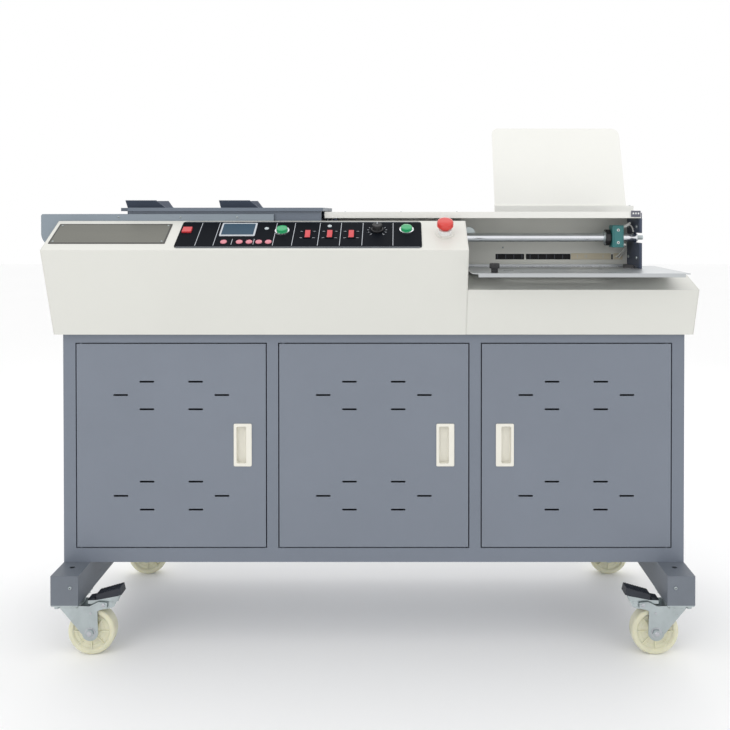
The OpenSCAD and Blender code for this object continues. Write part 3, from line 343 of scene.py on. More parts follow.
def addScrew(bm, at, radius=3.2, axis=(0, 0, 1), index=0, dark=1):  # domed, cross-recessed, with a near-black cross in the recess that is painted shade
    height = radius * 0.62
    matrix = aimed(at, axis)
    socket = radius * 0.48
    addTurned(bm, [(0, height * 0.45), (socket, height * 0.45), (socket, height),
                   (radius * 0.72, height * 0.92), (radius * 0.93, height * 0.6),
                   (radius, height * 0.2), (radius, -0.2), (0, -0.2)], matrix, steps=24,
              index=index)
    # painted shade: the dark cross stands for the shade inside the cross recess
    for turn in (0, math.pi / 2):
        addBlock(bm, (-radius * 0.5, -radius * 0.12, height * 0.3),
                 (radius * 0.5, radius * 0.12, height * 0.5), 0, 1,
                 matrix @ Matrix.Rotation(turn, 4, "Z"), dark)


def cadCopy(node):
    bm = bmesh.new()
    bm.from_mesh(nodes[node].data)
    bmesh.ops.remove_doubles(bm, verts=bm.verts, dist=2e-6)
    bmesh.ops.dissolve_limit(bm, angle_limit=math.radians(0.5), use_dissolve_boundaries=False,
                             verts=bm.verts, edges=bm.edges)
    for face in bm.faces:
        face.material_index = 0
    return bm


def bodyOf(node):
    for name, members in frame["record"]["behaviour"]["bodies"].items():
        if node in members:
            return name


# ---- the sheet-metal and moulded parts: edges softened, and a finish on each ----

dressed = {  # node: (finish, edge radius in mm)
    "cabinet_frame": ("cabinet", 0.9), "cabinet_shell": ("cabinet", 0.8), "skids": ("skid", 1.6),
    "caster_plates": ("zinc", 0.5), "bed_plate": ("bed", 0.6),
    "front_fascia": ("cream", 0.7), "right_fascia": ("cream", 0.7),
    # the end panels, rear cover and recess wall take the darker cream copy, painted shade
    "end_panels": ("creamPaintedShade", 0.5), "rear_cover": ("creamPaintedShade", 0.5), "hood": ("hood", 0.6),
    # the cover table and back board take the lighter cream copy, painted light
    "cover_table": ("creamPaintedLight", 0.6), "table_frame": ("darkFrame", 0.6),
    "recess_wall": ("creamPaintedShade", 0.4), "back_board": ("creamPaintedLight", 0.6),
    "mains_inlet": ("black", 0.8), "glue_tank": ("tank", 0.8), "motors": ("motor", 1.2),
    "door_left": ("door", 0.8), "door_middle": ("door", 0.8), "door_right": ("door", 0.8),
    "pull_left": ("pull", 0.9), "pull_middle": ("pull", 0.9), "pull_right": ("pull", 0.9),
    "fork_front_left": ("zinc", 0.7), "fork_front_right": ("zinc", 0.7),
    "fork_rear_left": ("zinc", 0.7), "fork_rear_right": ("zinc", 0.7),
    "power_button": ("red", 0.8),
    "mill_cutter": ("steel", 0.4), "nip_table": ("steel", 0.7),
    "mode_switch_1": ("red", 0.6), "mode_switch_2": ("red", 0.6), "mode_switch_3": ("red", 0.6),
}
plain = {  # the finish under a piece that replaces a node, where it isn't steel
    "carriage": "apron", "moving_jaw": "apron", "sensor_wires": "wire", "tray_knob": "black",
    "guide_shafts": "shaft",
}


def dress(node, finish, edge):
    bm = cadCopy(node)
    bevelSharp(bm, mm(edge), 2, 30)
    finishPiece(node + "_skin", bm, finish, bodyOf(node), (node,))


for node, (finish, edge) in dressed.items():
    dress(node, finish, edge)
for name, node in nodes.items():  # a node that a piece replaces keeps a finish of its own
    node.data.materials.clear()
    own = dressed[name][0] if name in dressed else plain.get(name, "steel")
    node.data.materials.append(finishes[own])


clampLook = {"edge": 0.6, "guidesFrom": 954.6, "rods": (-568, -124), "rodHeights": (912, 935),
             "rodReach": 9.5, "jawFront": 146}


def dressClamp(node):  # painted clamp with darker book guides and ground rods
    bm = cadCopy(node)
    bevelSharp(bm, mm(clampLook["edge"]), 2, 30)
    low, high = clampLook["rodHeights"]
    for face in bm.faces:
        c = machinePlace(face)
        nearRod = min(abs(c.x - x) for x in clampLook["rods"]) < clampLook["rodReach"]
        if c.z > clampLook["guidesFrom"]:
            face.material_index = 1
        elif node == "carriage" and low < c.z < high and c.y < clampLook["jawFront"] \
                and nearRod and abs(face.normal.z) < 0.98:
            face.material_index = 2
    finishPiece(node + "_skin", bm, "apron", node, (node,), 34, ("wing", "steel"))


dressClamp("carriage")
dressClamp("moving_jaw")
print("sheet-metal parts dressed:", len(dressed) + 2)


# ---- casters ----

casterY = {"front": -28, "rear": 388}
casterX, swivelX = 601.5, 646  # the axles and the swivel pins, from the middle
wheelLook = {"radius": 50, "width": 32, "bore": 6.05, "hub": 16, "web": 10, "ribs": 8,
             "ribTo": 38, "steps": 72}


def makeWheel(name, x, y):
    w, r = wheelLook["width"] / 2, wheelLook["radius"]
    hub, web, bore = wheelLook["hub"], wheelLook["web"], wheelLook["bore"]
    half = [(bore, w - 0.4), (bore + 0.6, w), (hub - 1, w), (hub, w - 0.8), (hub + 1.5, web + 1),
            (hub + 4, web), (28, web), (28.6, web - 0.7), (29.8, web - 0.7), (30.4, web),
            (36.5, web + 0.4), (39, w - 2.4), (40.5, w - 1.2), (44, w - 1), (47, w - 1.4),
            (49.2, w - 3.6), (r, w - 7)]
    profile = half + [(a, -b) for a, b in reversed(half)]
    bm = bmesh.new()
    at = Matrix.Translation(spot(x, y, r)) @ Matrix.Rotation(math.pi / 2, 4, "X")
    addTurned(bm, profile + [profile[0]], at, steps=wheelLook["steps"])
    for i in range(wheelLook["ribs"]):  # stiffening ribs in both faces
        turn = at @ Matrix.Rotation(i * math.tau / wheelLook["ribs"], 4, "Z")
        for side in (-1, 1):
            middle = side * (web + 1)
            addBlock(bm, (hub - 1, -1.1, middle - 1.8), (wheelLook["ribTo"], 1.1, middle + 1.8),
                     0.5, 2, turn)
    finishPiece(name + "_moulding", bm, "wheel", name, (name,), 30)


pedalLook = {"longFrom": 50, "longTo": 112, "shortTo": 54, "rise": (51.5, 14.5), "treadAt": (55, 129),
             "ribs": 9, "ribPitch": 5.6, "ribHalf": 14, "rivets": ((82, 104), (92, 113))}


# Zinc lever with black rubber treads. Its places run from the swivel pin towards the middle
def makePedal(side):
    hand = "left" if side < 0 else "right"
    node = "brake_pedal_" + hand
    bm = cadCopy(node)
    bevelSharp(bm, mm(0.5), 2, 30)
    at = Matrix.Translation(spot(side * swivelX, casterY["front"], 0))
    back = at.inverted()
    for face in bm.faces:
        c = back @ face.calc_center_median() * 1000
        u = -side * c.x
        onLong = pedalLook["longFrom"] < u < pedalLook["longTo"] and c.z > 115.5 + (u - 57) * 0.283
        onShort = u < pedalLook["shortTo"] and c.z > 113.5
        face.material_index = 0 if onLong or onShort else 1
    run, rise = pedalLook["rise"]
    treadX, treadZ = pedalLook["treadAt"]
    half, pitch = pedalLook["ribHalf"], pedalLook["ribPitch"]
    tread = at @ Matrix.Rotation(0 if side < 0 else math.pi, 4, "Z") \
        @ Matrix.Translation((mm(treadX), 0, mm(treadZ))) \
        @ Matrix.Rotation(-math.atan2(rise, run), 4, "Y")
    for i in range(pedalLook["ribs"]):
        addBlock(bm, (3 + i * pitch, -half, -0.5), (5.4 + i * pitch, half, 0.9), 0.5, 2, tread)
    for s in (-1, 1):  # riveted cheeks
        for u, z in pedalLook["rivets"]:
            addBar(bm, spot(side * (swivelX - u), casterY["front"] + s * 14.5, z), 2.2, 2,
                   (0, s, 0), 0.6, 16, 1)
    finishPiece("pedal_" + hand, bm, "rubber", node, (node,), 34, ("zinc",))


for end in ("front", "rear"):
    for side, hand in ((-1, "left"), (1, "right")):
        makeWheel(f"wheel_{end}_{hand}", side * casterX, casterY[end])
makePedal(-1)
makePedal(1)
print("casters made")


# ---- control slope ----

def addPlate(bm, x0, x1, s0, s1, low, high, radius, edge=0.3, index=0):  # a rounded plate
    part = bmesh.new()
    bmesh.ops.create_cube(part, size=1)
    bmesh.ops.scale(part, vec=(mm(x1 - x0), mm(s1 - s0), mm(high - low)), verts=part.verts)
    upright = [e for e in part.edges
               if abs(e.verts[0].co.z - e.verts[1].co.z) > mm(high - low) * 0.9]
    bmesh.ops.bevel(part, geom=upright, offset=mm(radius), offset_type="OFFSET", segments=6,
                    profile=0.5, affect="EDGES", material=-1)
    if edge:
        top = [e for e in part.edges if min(v.co.z for v in e.verts) > 0
               and len(e.link_faces) == 2 and e.calc_face_angle(0) > 1]
        bmesh.ops.bevel(part, geom=top, offset=mm(edge), offset_type="OFFSET", segments=2,
                        profile=0.5, affect="EDGES", material=-1)
    pour(bm, part, slopeSpot((x0 + x1) / 2, (s0 + s1) / 2, (low + high) / 2), index)


panelLook = {  # across, and up the slope
    "span": (-411, 99), "edgeLines": (10.2, 110.8), "lineWidth": 1.1, "marks": (1.4, 1.6),
    "separators": ((-372, 16, 108), (-334, 16, 108), (-210, 16, 108), (-170, 16, 108),
                   (-116, 16, 108), (-70, 16, 108), (-23, 16, 108), (42, 16, 108)),
    "shortBars": ((-297, 20, 42), (-251, 20, 42)),
    "buttons": ((-195.5, 72), (71, 77)), "menu": (-314, -281, -260.5, -240, -220), "menuAt": 30,
    "switches": (-140, -93, -47), "switchAt": 60, "dial": (8, 77), "stop": (153, 66),
    "lamps": ((-230, 84), (-95, 94)),
}


def makePanel():
    bm = cadCopy("control_panel")
    bevelSharp(bm, mm(0.35), 2, 30)
    back = slopeSpot(0, 0).inverted()
    for face in bm.faces:
        c = back @ face.calc_center_median() * 1000
        near = min(math.hypot(c.x - x, c.y - s) for x, s in panelLook["buttons"])
        onStop = math.hypot(c.x - panelLook["stop"][0], c.y - panelLook["stop"][1]) < 22
        if near < 16.4 and c.z > 1.55:  # bright rings round the push buttons
            face.material_index = 2
        elif onStop:  # collar of the emergency stop
            face.material_index = 3 if c.z > 2.3 else 7
        elif abs(c.z - 0.7) < 0.6 and (abs(c.x + 156) > 258 or abs(c.y - 61) > 52):  # rim
            face.material_index = 1
    w = panelLook["lineWidth"] / 2
    for x, low, high in panelLook["separators"] + panelLook["shortBars"]:
        addPlate(bm, x - w, x + w, low, high, 1.4, 1.62, 0.3, 0, 5)
    left, right = panelLook["span"]
    low, high = panelLook["marks"]
    for s in panelLook["edgeLines"]:  # pale lines along the panel's lower and upper edge
        addPlate(bm, left, right, s, s + 1, low, high, 0.3, 0, 1)
    for x, s in panelLook["lamps"]:
        addTurned(bm, [(0, 1.2), (4.6, 1.2), (4.6, 2.6), (3.9, 3.1), (3.4, 2.6), (3, 3.4),
                       (1.8, 4.4), (0, 4.8)], slopeSpot(x, s), steps=24, index=6)
    dialX, dialS = panelLook["dial"]
    for i in range(11):  # ticks of the speed dial
        a = math.radians(-140 + 28 * i)
        r0, r1 = (17.5, 21.5) if i % 5 else (17.5, 23.5)
        tick = slopeSpot(dialX, dialS) @ Matrix.Rotation(-a, 4, "Z")
        addBlock(bm, (-0.45, r0, 1.4), (0.45, r1, 1.62), 0, 1, tick, 5)
    for x in panelLook["switches"]:  # marks beside each rocker
        for s in (panelLook["switchAt"] - 13, panelLook["switchAt"] + 13):
            for u in (x - 13.5, x + 13.5):
                addPlate(bm, u - 2.6, u + 2.6, s - 0.5, s + 0.5, low, high, 0.2, 0, 5)
    finishPiece("panel_overlay", bm, "panel", "frame", ("control_panel",), 34,
                ("panelEdge", "shaft", "whitePlastic", "black", "print", "lamp", "cream"))


displayLook = {"across": (-328, -252), "up": (53, 106), "border": (3.6, 4), "body": (8.5, 9)}


def makeDisplay():
    (x0, x1), (s0, s1) = displayLook["across"], displayLook["up"]
    bm = bmesh.new()
    addPlate(bm, x0, x1, s0, s1, 1.5, 3, 2.5, 0.5)
    w, h = displayLook["body"]
    addPlate(bm, x0 + w, x1 - w, s0 + h, s1 - h, -5, 1.6, 1, 0)
    finishPiece("display_frame", bm, "print", "frame", ("display",))
    bm = bmesh.new()
    w, h = displayLook["border"]
    addPlate(bm, x0 + w, x1 - w, s0 + h, s1 - h, 2.6, 3.12, 1.2, 0.2)
    finishPiece("display_screen", bm, "screen", "frame")


def makeScreenFinish():  # pale ink on a blue-grey screen, with its fine grid of dots
    makeFinish("screen", "screenGlass", (0.026, 0.070, 0.115), 0.35, mottle=0.08, mottleScale=10,
               grain=500, grainHeight=0.01, gloss=0.2)
    material = finishes["screen"]
    shader = material.node_tree.nodes["Principled BSDF"]
    ramp = next(n for n in material.node_tree.nodes if n.type == "VALTORGB")
    place = next(n for n in material.node_tree.nodes if n.type == "TEX_COORD")
    dots = addNode(material, "TexBrick", offset=0.0, Scale=600.0)
    dots.inputs["Color1"].default_value = dots.inputs["Color2"].default_value = (1, 1, 1, 1)
    dots.inputs["Mortar"].default_value = (0.72, 0.76, 0.80, 1)
    dots.inputs["Mortar Size"].default_value = 0.03
    link(material, place, "Object", dots, "Vector")
    multiplyColours(material, ramp, dots, shader)


buttonLook = {  # profiles of radius and height
    "push": [(0, -4), (11.8, -4), (12, -3.6), (12, 9.4), (11.6, 10.5), (10.6, 11.1), (5, 11.5),
             (0, 11.5)],
    "menu": [(0, -3), (6.8, -3), (7, -2.8), (7, 2.4), (6.7, 3.0), (6, 3.35), (4.8, 3.4),
             (4.2, 3.1), (2, 2.9), (0, 2.9)],
    "dial": [(0, -6), (3.8, -6), (4, -5.6), (4, 1.9), (12.6, 1.9), (13, 2.3), (13, 5.3),
             (12.4, 5.9), (10.9, 6.2), (10.5, 7), (10.1, 15.8), (9.4, 16.7), (7.6, 16.9),
             (7.0, 16.5), (0, 16.4)],
    "dialRibs": 20, "dialRibAt": 10.1,
    "stop": [(0, -6), (8.8, -6), (9, -5.8), (9, 18), (15, 18), (16.9, 18.6), (17.5, 19.6),
             (17.5, 20.8), (16.7, 21.3), (16.7, 22.1), (17.5, 22.6), (17.5, 27), (17.1, 29.2),
             (15.9, 31.2), (13.5, 32.7), (9, 33.7), (4, 34), (0, 34)],
    "arrows": 3, "arrowSteps": 5, "arrowAt": (11.2, 33.15),
}


def makeButtons():
    for name, (x, s) in zip(("start_button", "reset_button"), panelLook["buttons"]):
        bm = bmesh.new()
        addTurned(bm, buttonLook["push"], slopeSpot(x, s), steps=48)
        finishPiece(name + "_cap", bm, "green", name, (name,))
    for i, x in enumerate(panelLook["menu"]):
        bm = bmesh.new()
        addTurned(bm, buttonLook["menu"], slopeSpot(x, panelLook["menuAt"]), steps=32)
        finishPiece(f"menu_key_{i + 1}", bm, "pink", f"menu_button_{i + 1}",
                    (f"menu_button_{i + 1}",), 40)


def makeSpeedDial():
    bm = bmesh.new()
    at = slopeSpot(*panelLook["dial"])
    addTurned(bm, buttonLook["dial"], at, steps=64)
    for i in range(buttonLook["dialRibs"]):
        turn = at @ Matrix.Rotation(math.tau * i / buttonLook["dialRibs"], 4, "Z")
        addBar(bm, turn @ Matrix.Translation((mm(buttonLook["dialRibAt"]), 0, mm(6.4))),
               0.85, 9.4, steps=10)
    addBlock(bm, (-1.1, 1.5, 16.3), (1.1, 10.0, 17.5), 0.4, 2, at, 1)
    finishPiece("speed_dial", bm, "black", "speed_knob", ("speed_knob",), 40,
                ("panelEdge",))


def makeStopHead():
    bm = bmesh.new()
    at = slopeSpot(*panelLook["stop"])
    addTurned(bm, buttonLook["stop"], at, steps=64)
    out, up = buttonLook["arrowAt"]
    for turn in range(buttonLook["arrows"]):  # raised arrows round the head
        arrow = at @ Matrix.Rotation(turn * math.tau / buttonLook["arrows"], 4, "Z")
        for k in range(buttonLook["arrowSteps"]):
            step = arrow @ Matrix.Rotation(0.16 * k, 4, "Z") \
                @ Matrix.Translation((mm(out), 0, mm(up))) @ Matrix.Rotation(0.28, 4, "Y")
            addBlock(bm, (-0.9, -1.2, -0.3), (0.9, 1.2, 0.3), 0.2, 1, step)
    finishPiece("stop_head", bm, "stopRed", "emergency_stop", ("emergency_stop",), 40)


plateLook = {"across": (-682, -437), "up": (25, 105), "border": 3.5, "rivetIn": 8}


def makeNameplate():  # a bare brushed plate with a dark border and four rivets
    (x0, x1), (s0, s1) = plateLook["across"], plateLook["up"]
    w, r = plateLook["border"], plateLook["rivetIn"]
    bm = bmesh.new()
    addPlate(bm, x0, x1, s0, s1, 0, 1.0, 2, 0.3)
    addPlate(bm, x0 + w, x1 - w, s0 + w, s1 - w, 0.8, 1.2, 1.5, 0.15, 1)
    for x in (x0 + r, x1 - r):
        for s in (s0 + r, s1 - r):
            addTurned(bm, [(0, 1.2), (2, 1.2), (1.9, 1.9), (1.2, 2.4), (0, 2.6)],
                      slopeSpot(x, s), steps=16, index=2)
    finishPiece("bare_nameplate", bm, "plateBorder", "frame", ("nameplate",), 34,
                ("nameplate", "zinc"))


makeScreenFinish()
makePanel()
makeDisplay()
makeButtons()
makeSpeedDial()
makeStopHead()
makeNameplate()
print("control slope made")


# ---- shafts, sensor and its leads ----

shaftLook = {"radius": 10, "height": 887, "front": 84, "rear": 260, "left": -660, "right": 593,
             "stud": 13.8, "nut": 9.4394, "buffer": (517, 533), "bufferAcross": 36,
             "bracket": (((-654, 40, 688), (-642, 110, 915)), ((-654, 234, 688), (-642, 300, 915)),
                         ((-654, 110, 880), (-642, 234, 915)),
                         ((-654, 110, 688), (-642, 234, 708)))}


def makeShafts():
    bm = bmesh.new()
    right = (1, 0, 0)
    height = shaftLook["height"]
    for y in (shaftLook["front"], shaftLook["rear"]):
        at = spot(shaftLook["left"], y, height)
        addBar(bm, at, shaftLook["radius"], shaftLook["right"] - shaftLook["left"], right, 1, 64)
        end = spot(shaftLook["right"], y, height)
        addHex(bm, spot(shaftLook["right"] + 5.5, y, height), shaftLook["nut"], 6, right, 1)
        addBar(bm, end, 5.2, shaftLook["stud"], right, 1, 24, 1)
        addTurned(bm, [(0, 0), (9.5, 0), (9.5, 1.1), (5.5, 1.1), (0, 1.1)], end, right, 32, 1)
    for low, high in shaftLook["bracket"]:  # left bracket, a plate with a window
        addBlock(bm, low, high, 0.8, 2, None, 2)
    finishPiece("ground_shafts", bm, "shaft", "frame", ("guide_shafts",), 30,
                ("zinc", "darkFrame"))


def makeBuffer():  # eight-sided rubber stop with a steel washer and three screws
    bm = bmesh.new()
    (x0, x1), y, z = shaftLook["buffer"], shaftLook["front"], shaftLook["height"]
    corner = mm(shaftLook["bufferAcross"] / 2 / 0.924)
    part = bmesh.new()
    bmesh.ops.create_cone(part, cap_ends=True, segments=8, radius1=corner, radius2=corner,
                          depth=mm(x1 - x0 - 5))
    bevelSharp(part, mm(1.2), 3, 40)
    pour(bm, part, Matrix.Translation(spot((x0 + x1 - 5) / 2 + 4, y, z))
         @ Matrix.Rotation(math.pi / 2, 4, "Y") @ Matrix.Rotation(math.pi / 8, 4, "Z"))
    addBar(bm, spot(x0, y, z), 14, 5, (1, 0, 0), 1.2, 40, 1)
    for a in (0.6, 2.4, 4.4):
        offset = Vector((0, mm(15) * math.cos(a), mm(15) * math.sin(a)))
        addScrew(bm, spot(x0 + 4.2, y, z) + offset, 2.2, (-1, 0, 0), 1, 0)
    finishPiece("end_buffer", bm, "black", "frame", (), 34, ("zinc",))


sensorLook = {"block": ((533.2, 62, 865), (558.8, 95.6, 914.8)),
              "face": ((537, 60.6, 869), (555, 63, 911)), "screws": ((546, 60.8, 876), (546, 60.8, 904))}


def makeSensor():
    bm = bmesh.new()
    addBlock(bm, *sensorLook["block"], 1.4, 3)
    addBlock(bm, *sensorLook["face"], 0.8, 2)
    finishPiece("sensor_block", bm, "sensor", "frame", ("end_sensor",))
    bm = bmesh.new()
    for at in sensorLook["screws"]:
        addScrew(bm, spot(*at), 3.4, (0, -1, 0))
    finishPiece("sensor_screws", bm, "whitePlastic", "frame", (), 34, ("slotDark",))


wireLook = {"radius": 1.5, "steps": 20,
            "routes": ([(560.2, 76, 908), (580, 76, 926), (585.2, 82, 900)],
                       [(560.2, 70, 871), (580, 94, 868), (561, 140.6, 840)],
                       [(560.2, 80, 870), (584, 100, 872), (568, 140.6, 838)])}


def makeWires():
    bm = bmesh.new()
    for route in wireLook["routes"]:
        a, b, c = (spot(*p) for p in route)
        steps = wireLook["steps"]
        points = [a * (1 - t) ** 2 + b * 2 * t * (1 - t) + c * t * t
                  for t in (i / steps for i in range(steps + 1))]
        ring = None
        part = bmesh.new()
        for i, p in enumerate(points):
            along = (points[min(i + 1, steps)] - points[max(i - 1, 0)]).normalized()
            turn = Vector((0, 0, 1)).rotation_difference(along).to_matrix().to_4x4()
            fresh = bmesh.ops.create_circle(part, cap_ends=i in (0, steps), segments=12,
                                            radius=mm(wireLook["radius"]),
                                            matrix=Matrix.Translation(p) @ turn)["verts"]
            edges = [e for e in part.edges if all(v in set(fresh) for v in e.verts)]
            if ring:
                bmesh.ops.bridge_loops(part, edges=ring + edges)
            ring = edges
        pour(bm, part, Matrix.Identity(4))
    finishPiece("sensor_leads", bm, "wire", "frame", ("sensor_wires",), 60)


def makeLeadFittings():  # moulded connector and its tie, where the upper lead leaves the sensor
    bm = bmesh.new()
    tilt = Matrix.Translation(spot(566, 76, 913.5)) @ Matrix.Rotation(math.radians(-33), 4, "Y")
    addBlock(bm, (-5, -4, -2.6), (9, 4, 2.6), 0.8, 2, tilt)
    addBlock(bm, (9, -2.6, -1.9), (13, 2.6, 1.9), 0.6, 2, tilt)
    addBlock(bm, (-1, -4.5, -3.1), (1.6, 4.5, 3.1), 0.5, 2, tilt)
    for z, y in ((871, 70), (870, 80)):
        addBar(bm, spot(559, y, z), 2.6, 6, (0.9, 0.4, -0.05), 0.7, 20)
    finishPiece("lead_fittings", bm, "wire", "frame")


makeShafts()
makeBuffer()
makeSensor()
makeWires()
makeLeadFittings()
print("shafts and sensor made")


# ---- recess, tray and table trim ----

recessLook = {"slotBacks": ((272, 462, 830, 851), (546, 558, 831, 849)), "teeth": 9,
              "toothPitch": 19, "strips": ((456, 549), (555, 576)),
              "stripMarks": (470, 488, 492, 530, 566),
              "clampAt": (213, 96, 896), "clampRadius": 15, "endPlate": (587, 593),
              "plateScrews": ((60, 912), (128, 912), (60, 842), (128, 842)),
              "wallScrew": (297, 142, 862), "sightMarks": 3, "sightPitch": 5.6}


def makeRecessTrim():
    bm = bmesh.new()  # painted shade: near-black blocks behind the nip's slots stand for the shade inside them
    for x0, x1, z0, z1 in recessLook["slotBacks"]:
        addBlock(bm, (x0, 144.3, z0), (x1, 146.8, z1), 0.3, 1)
    for i in range(recessLook["teeth"]):
        x = 284 + i * recessLook["toothPitch"]
        addBlock(bm, (x, 143.9, 835.5), (x + 2, 145, 845.5), 0.2, 1, None, 1)
    finishPiece("slot_backing", bm, "slotDark", "frame", (), 34, ("motor",))
    bm = bmesh.new()  # pale guide strip beside the slots
    for x0, x1 in recessLook["strips"]:
        addBlock(bm, (x0, 140.8, 834), (x1, 141.9, 848.5), 0.3, 2)
    for x in recessLook["stripMarks"]:
        addBlock(bm, (x, 140.5, 838), (x + 1.2, 140.9, 845), 0.1, 1, None, 1)
    finishPiece("guide_strip", bm, "strip", "frame", (), 34, ("print",))


def makeShaftClamp():  # rounded clamp plate at the recess's left end, over the shaft
    bm = bmesh.new()
    part = bmesh.new()
    radius = mm(recessLook["clampRadius"])
    bmesh.ops.create_cone(part, cap_ends=True, segments=48, radius1=radius, radius2=radius,
                          depth=mm(4))
    bevelSharp(part, mm(0.6), 2, 40)
    pour(bm, part, Matrix.Translation(spot(*recessLook["clampAt"]))
         @ Matrix.Rotation(math.pi / 2, 4, "X"))
    addBlock(bm, (200.5, 94, 878), (224, 98, 897), 0.6, 2)
    finishPiece("shaft_clamp", bm, "zinc", "frame")


def makeRecessScrews():
    bm = bmesh.new()
    inner, outer = recessLook["endPlate"]
    for y, z in recessLook["plateScrews"]:
        addScrew(bm, spot(inner, y, z), 3.8, (-1, 0, 0))
        addScrew(bm, spot(outer, y, z), 3.8, (1, 0, 0))
    addScrew(bm, spot(*recessLook["wallScrew"]), 2.2, (0, -1, 0))
    finishPiece("recess_screws", bm, "zinc", "frame", (), 34, ("slotDark",))


def makeSightBracket():  # on the table's front lip
    bm = bmesh.new()
    addBlock(bm, (567.5, 33.4, 933.6), (588.4, 36, 947.5), 0.7, 2)
    for i in range(recessLook["sightMarks"]):
        x = 570.5 + i * recessLook["sightPitch"]
        addBlock(bm, (x, 32.9, 939.5), (x + 3.4, 33.6, 943.3), 0.2, 1, None, 1)
    finishPiece("sight_bracket", bm, "bracket", "frame", (), 34, ("whitePlastic",))


trayLook = {
    "top": 819, "slots": [((279.4, -24, 818.9), (300.5, -16, 819.15)),
                          ((306, -79.2, 818.85), (507, -76.4, 819.12)),
                          ((492.5, 24, 818.9), (501.5, 31, 819.15)),
                          ((430, 30, 818.9), (434, 33, 819.15))],
    "strip": ((207, 96), (585, 118)), "ticks": 36, "tickPitch": 9.6,
}


def makeTrayTrim():
    top = trayLook["top"]
    bm = cadCopy("delivery_tray")
    bevelSharp(bm, mm(0.5), 2, 30)
    for face in bm.faces:
        c = machinePlace(face)
        if c.z > top + 0.3 and c.x > 550 and c.y < 100:  # rubber stop on the tray
            face.material_index = 1
        elif c.z < top - 3 and c.y > 30:  # supports under it, in the darker copy of the cream: painted shade
            face.material_index = 2
    finishPiece("tray_plate", bm, "tray", "frame", ("delivery_tray",), 34,
                ("black", "creamPaintedShade"))
    # painted shade: near-black films on the tray top stand for its slots
    bm = bmesh.new()
    for low, high in trayLook["slots"]:
        addBlock(bm, low, high, 0.05, 1)
    finishPiece("tray_slots", bm, "slotDark", "frame")
    bm = bmesh.new()
    (x0, y0), (x1, y1) = trayLook["strip"]
    addBlock(bm, (x0, y0, top), (x1, y1, top + 1.2), 0.4, 2)
    for i in range(trayLook["ticks"]):
        x = x0 + 18 + i * trayLook["tickPitch"]
        addBlock(bm, (x, y0 + 1.5, top + 1.1), (x + 0.5, y0 + (8 if i % 5 else 13), top + 1.3),
                 0, 1, None, 1)
    finishPiece("scale_strip", bm, "steel", "frame", (), 34, ("slotDark",))


knobLook = {"at": (252, -92, 819), "ribs": 24, "ribAt": 9.9,
            "profile": [(0, -8), (3.8, -8), (4, -7.7), (4, 0.4), (7, 0.4), (7, 7), (7.6, 8.6),
                        (10.1, 9.2), (10.4, 9.8), (10.4, 18.4), (9.8, 19.4), (8.6, 19.7),
                        (8, 19.2), (0, 19)]}


def makeThumbKnob():  # knurled head, with a nut under the tray
    bm = bmesh.new()
    at = spot(*knobLook["at"])
    addTurned(bm, knobLook["profile"], at, steps=48)
    for i in range(knobLook["ribs"]):
        a, out = math.tau * i / knobLook["ribs"], mm(knobLook["ribAt"])
        addBar(bm, at + Vector((out * math.cos(a), out * math.sin(a), mm(9.6))), 0.6, 9.2, steps=8)
    addHex(bm, at - Vector((0, 0, mm(6.3))), 12, 3.9)
    finishPiece("thumb_knob", bm, "black", "tray_knob", ("tray_knob",), 40)


makeRecessTrim()
makeShaftClamp()
makeRecessScrews()
makeSightBracket()
makeTrayTrim()
makeThumbKnob()
print("recess and tray trimmed")


# ---- screws, hinges and other fastenings on the outside ----

screwLook = {
    "hood": (-560, -424, -300), "hoodAt": (20, 933),
    "bodyEnd": 690, "bodyEndAt": ((20, 700), (180, 700), (340, 700), (180, 790), (340, 790),
                                  (20, 770)),
    "cabinetEnd": 675, "cabinetEndAt": [(y, z) for z in (210, 430, 655) for y in (36, 345)],
    "back": range(-660, 661, 165), "cabinetBack": (360, (196, 664)),
    "coverBack": (358, (694, 796)), "coverRight": 590,
    "boardFoot": (306, 376, 446, 516, 610), "tableRear": (-80, 60, 200), "railEnd": (632, 292, 961),
    "skidCaps": ((-75, -1), (435, 1)), "skidAt": (634, 157),
}


def makeFastenings():
    up, front, rear = (0, 0, 1), (0, -1, 0), (0, 1, 0)
    bm = bmesh.new()
    for x in screwLook["hood"]:  # on the hood's front strip
        addScrew(bm, spot(x, *screwLook["hoodAt"]), 2.4, front)
    for side in (-1, 1):
        for y, z in screwLook["bodyEndAt"]:
            addScrew(bm, spot(side * screwLook["bodyEnd"], y, z), 3.6, (side, 0, 0))
        for y, z in screwLook["cabinetEndAt"]:
            addScrew(bm, spot(side * screwLook["cabinetEnd"], y, z), 3.2, (side, 0, 0))
    for x in screwLook["back"]:
        y, heights = screwLook["cabinetBack"]
        for z in heights:
            addScrew(bm, spot(x, y, z), 3.2, rear)
        y, heights = screwLook["coverBack"]
        for z in heights if x < screwLook["coverRight"] else ():
            addScrew(bm, spot(x, y, z), 3.2, rear)
    for x in screwLook["boardFoot"]:
        addScrew(bm, spot(x, 295.5, 963), 2.6, up)
    for x in screwLook["tableRear"]:
        addScrew(bm, spot(x, 300, 945), 2.4, up)
    addScrew(bm, spot(*screwLook["railEnd"]), 2.4, up)
    finishPiece("body_screws", bm, "zinc", "frame", (), 34, ("slotDark",))
    bm = bmesh.new()  # bright bolt in each skid's front and rear cap
    x, z = screwLook["skidAt"]
    for side in (-1, 1):
        for y, face in screwLook["skidCaps"]:
            addScrew(bm, spot(side * x, y, z), 3.6, (0, face, 0))
    finishPiece("skid_bolts", bm, "zinc", "frame", (), 34, ("slotDark",))


hingeLook = {"doorPitch": 440.5, "fromMiddle": 197.5, "sides": (-1, -1, 1), "heights": (215.6, 647.4),
             "radius": 5.2, "length": 10}


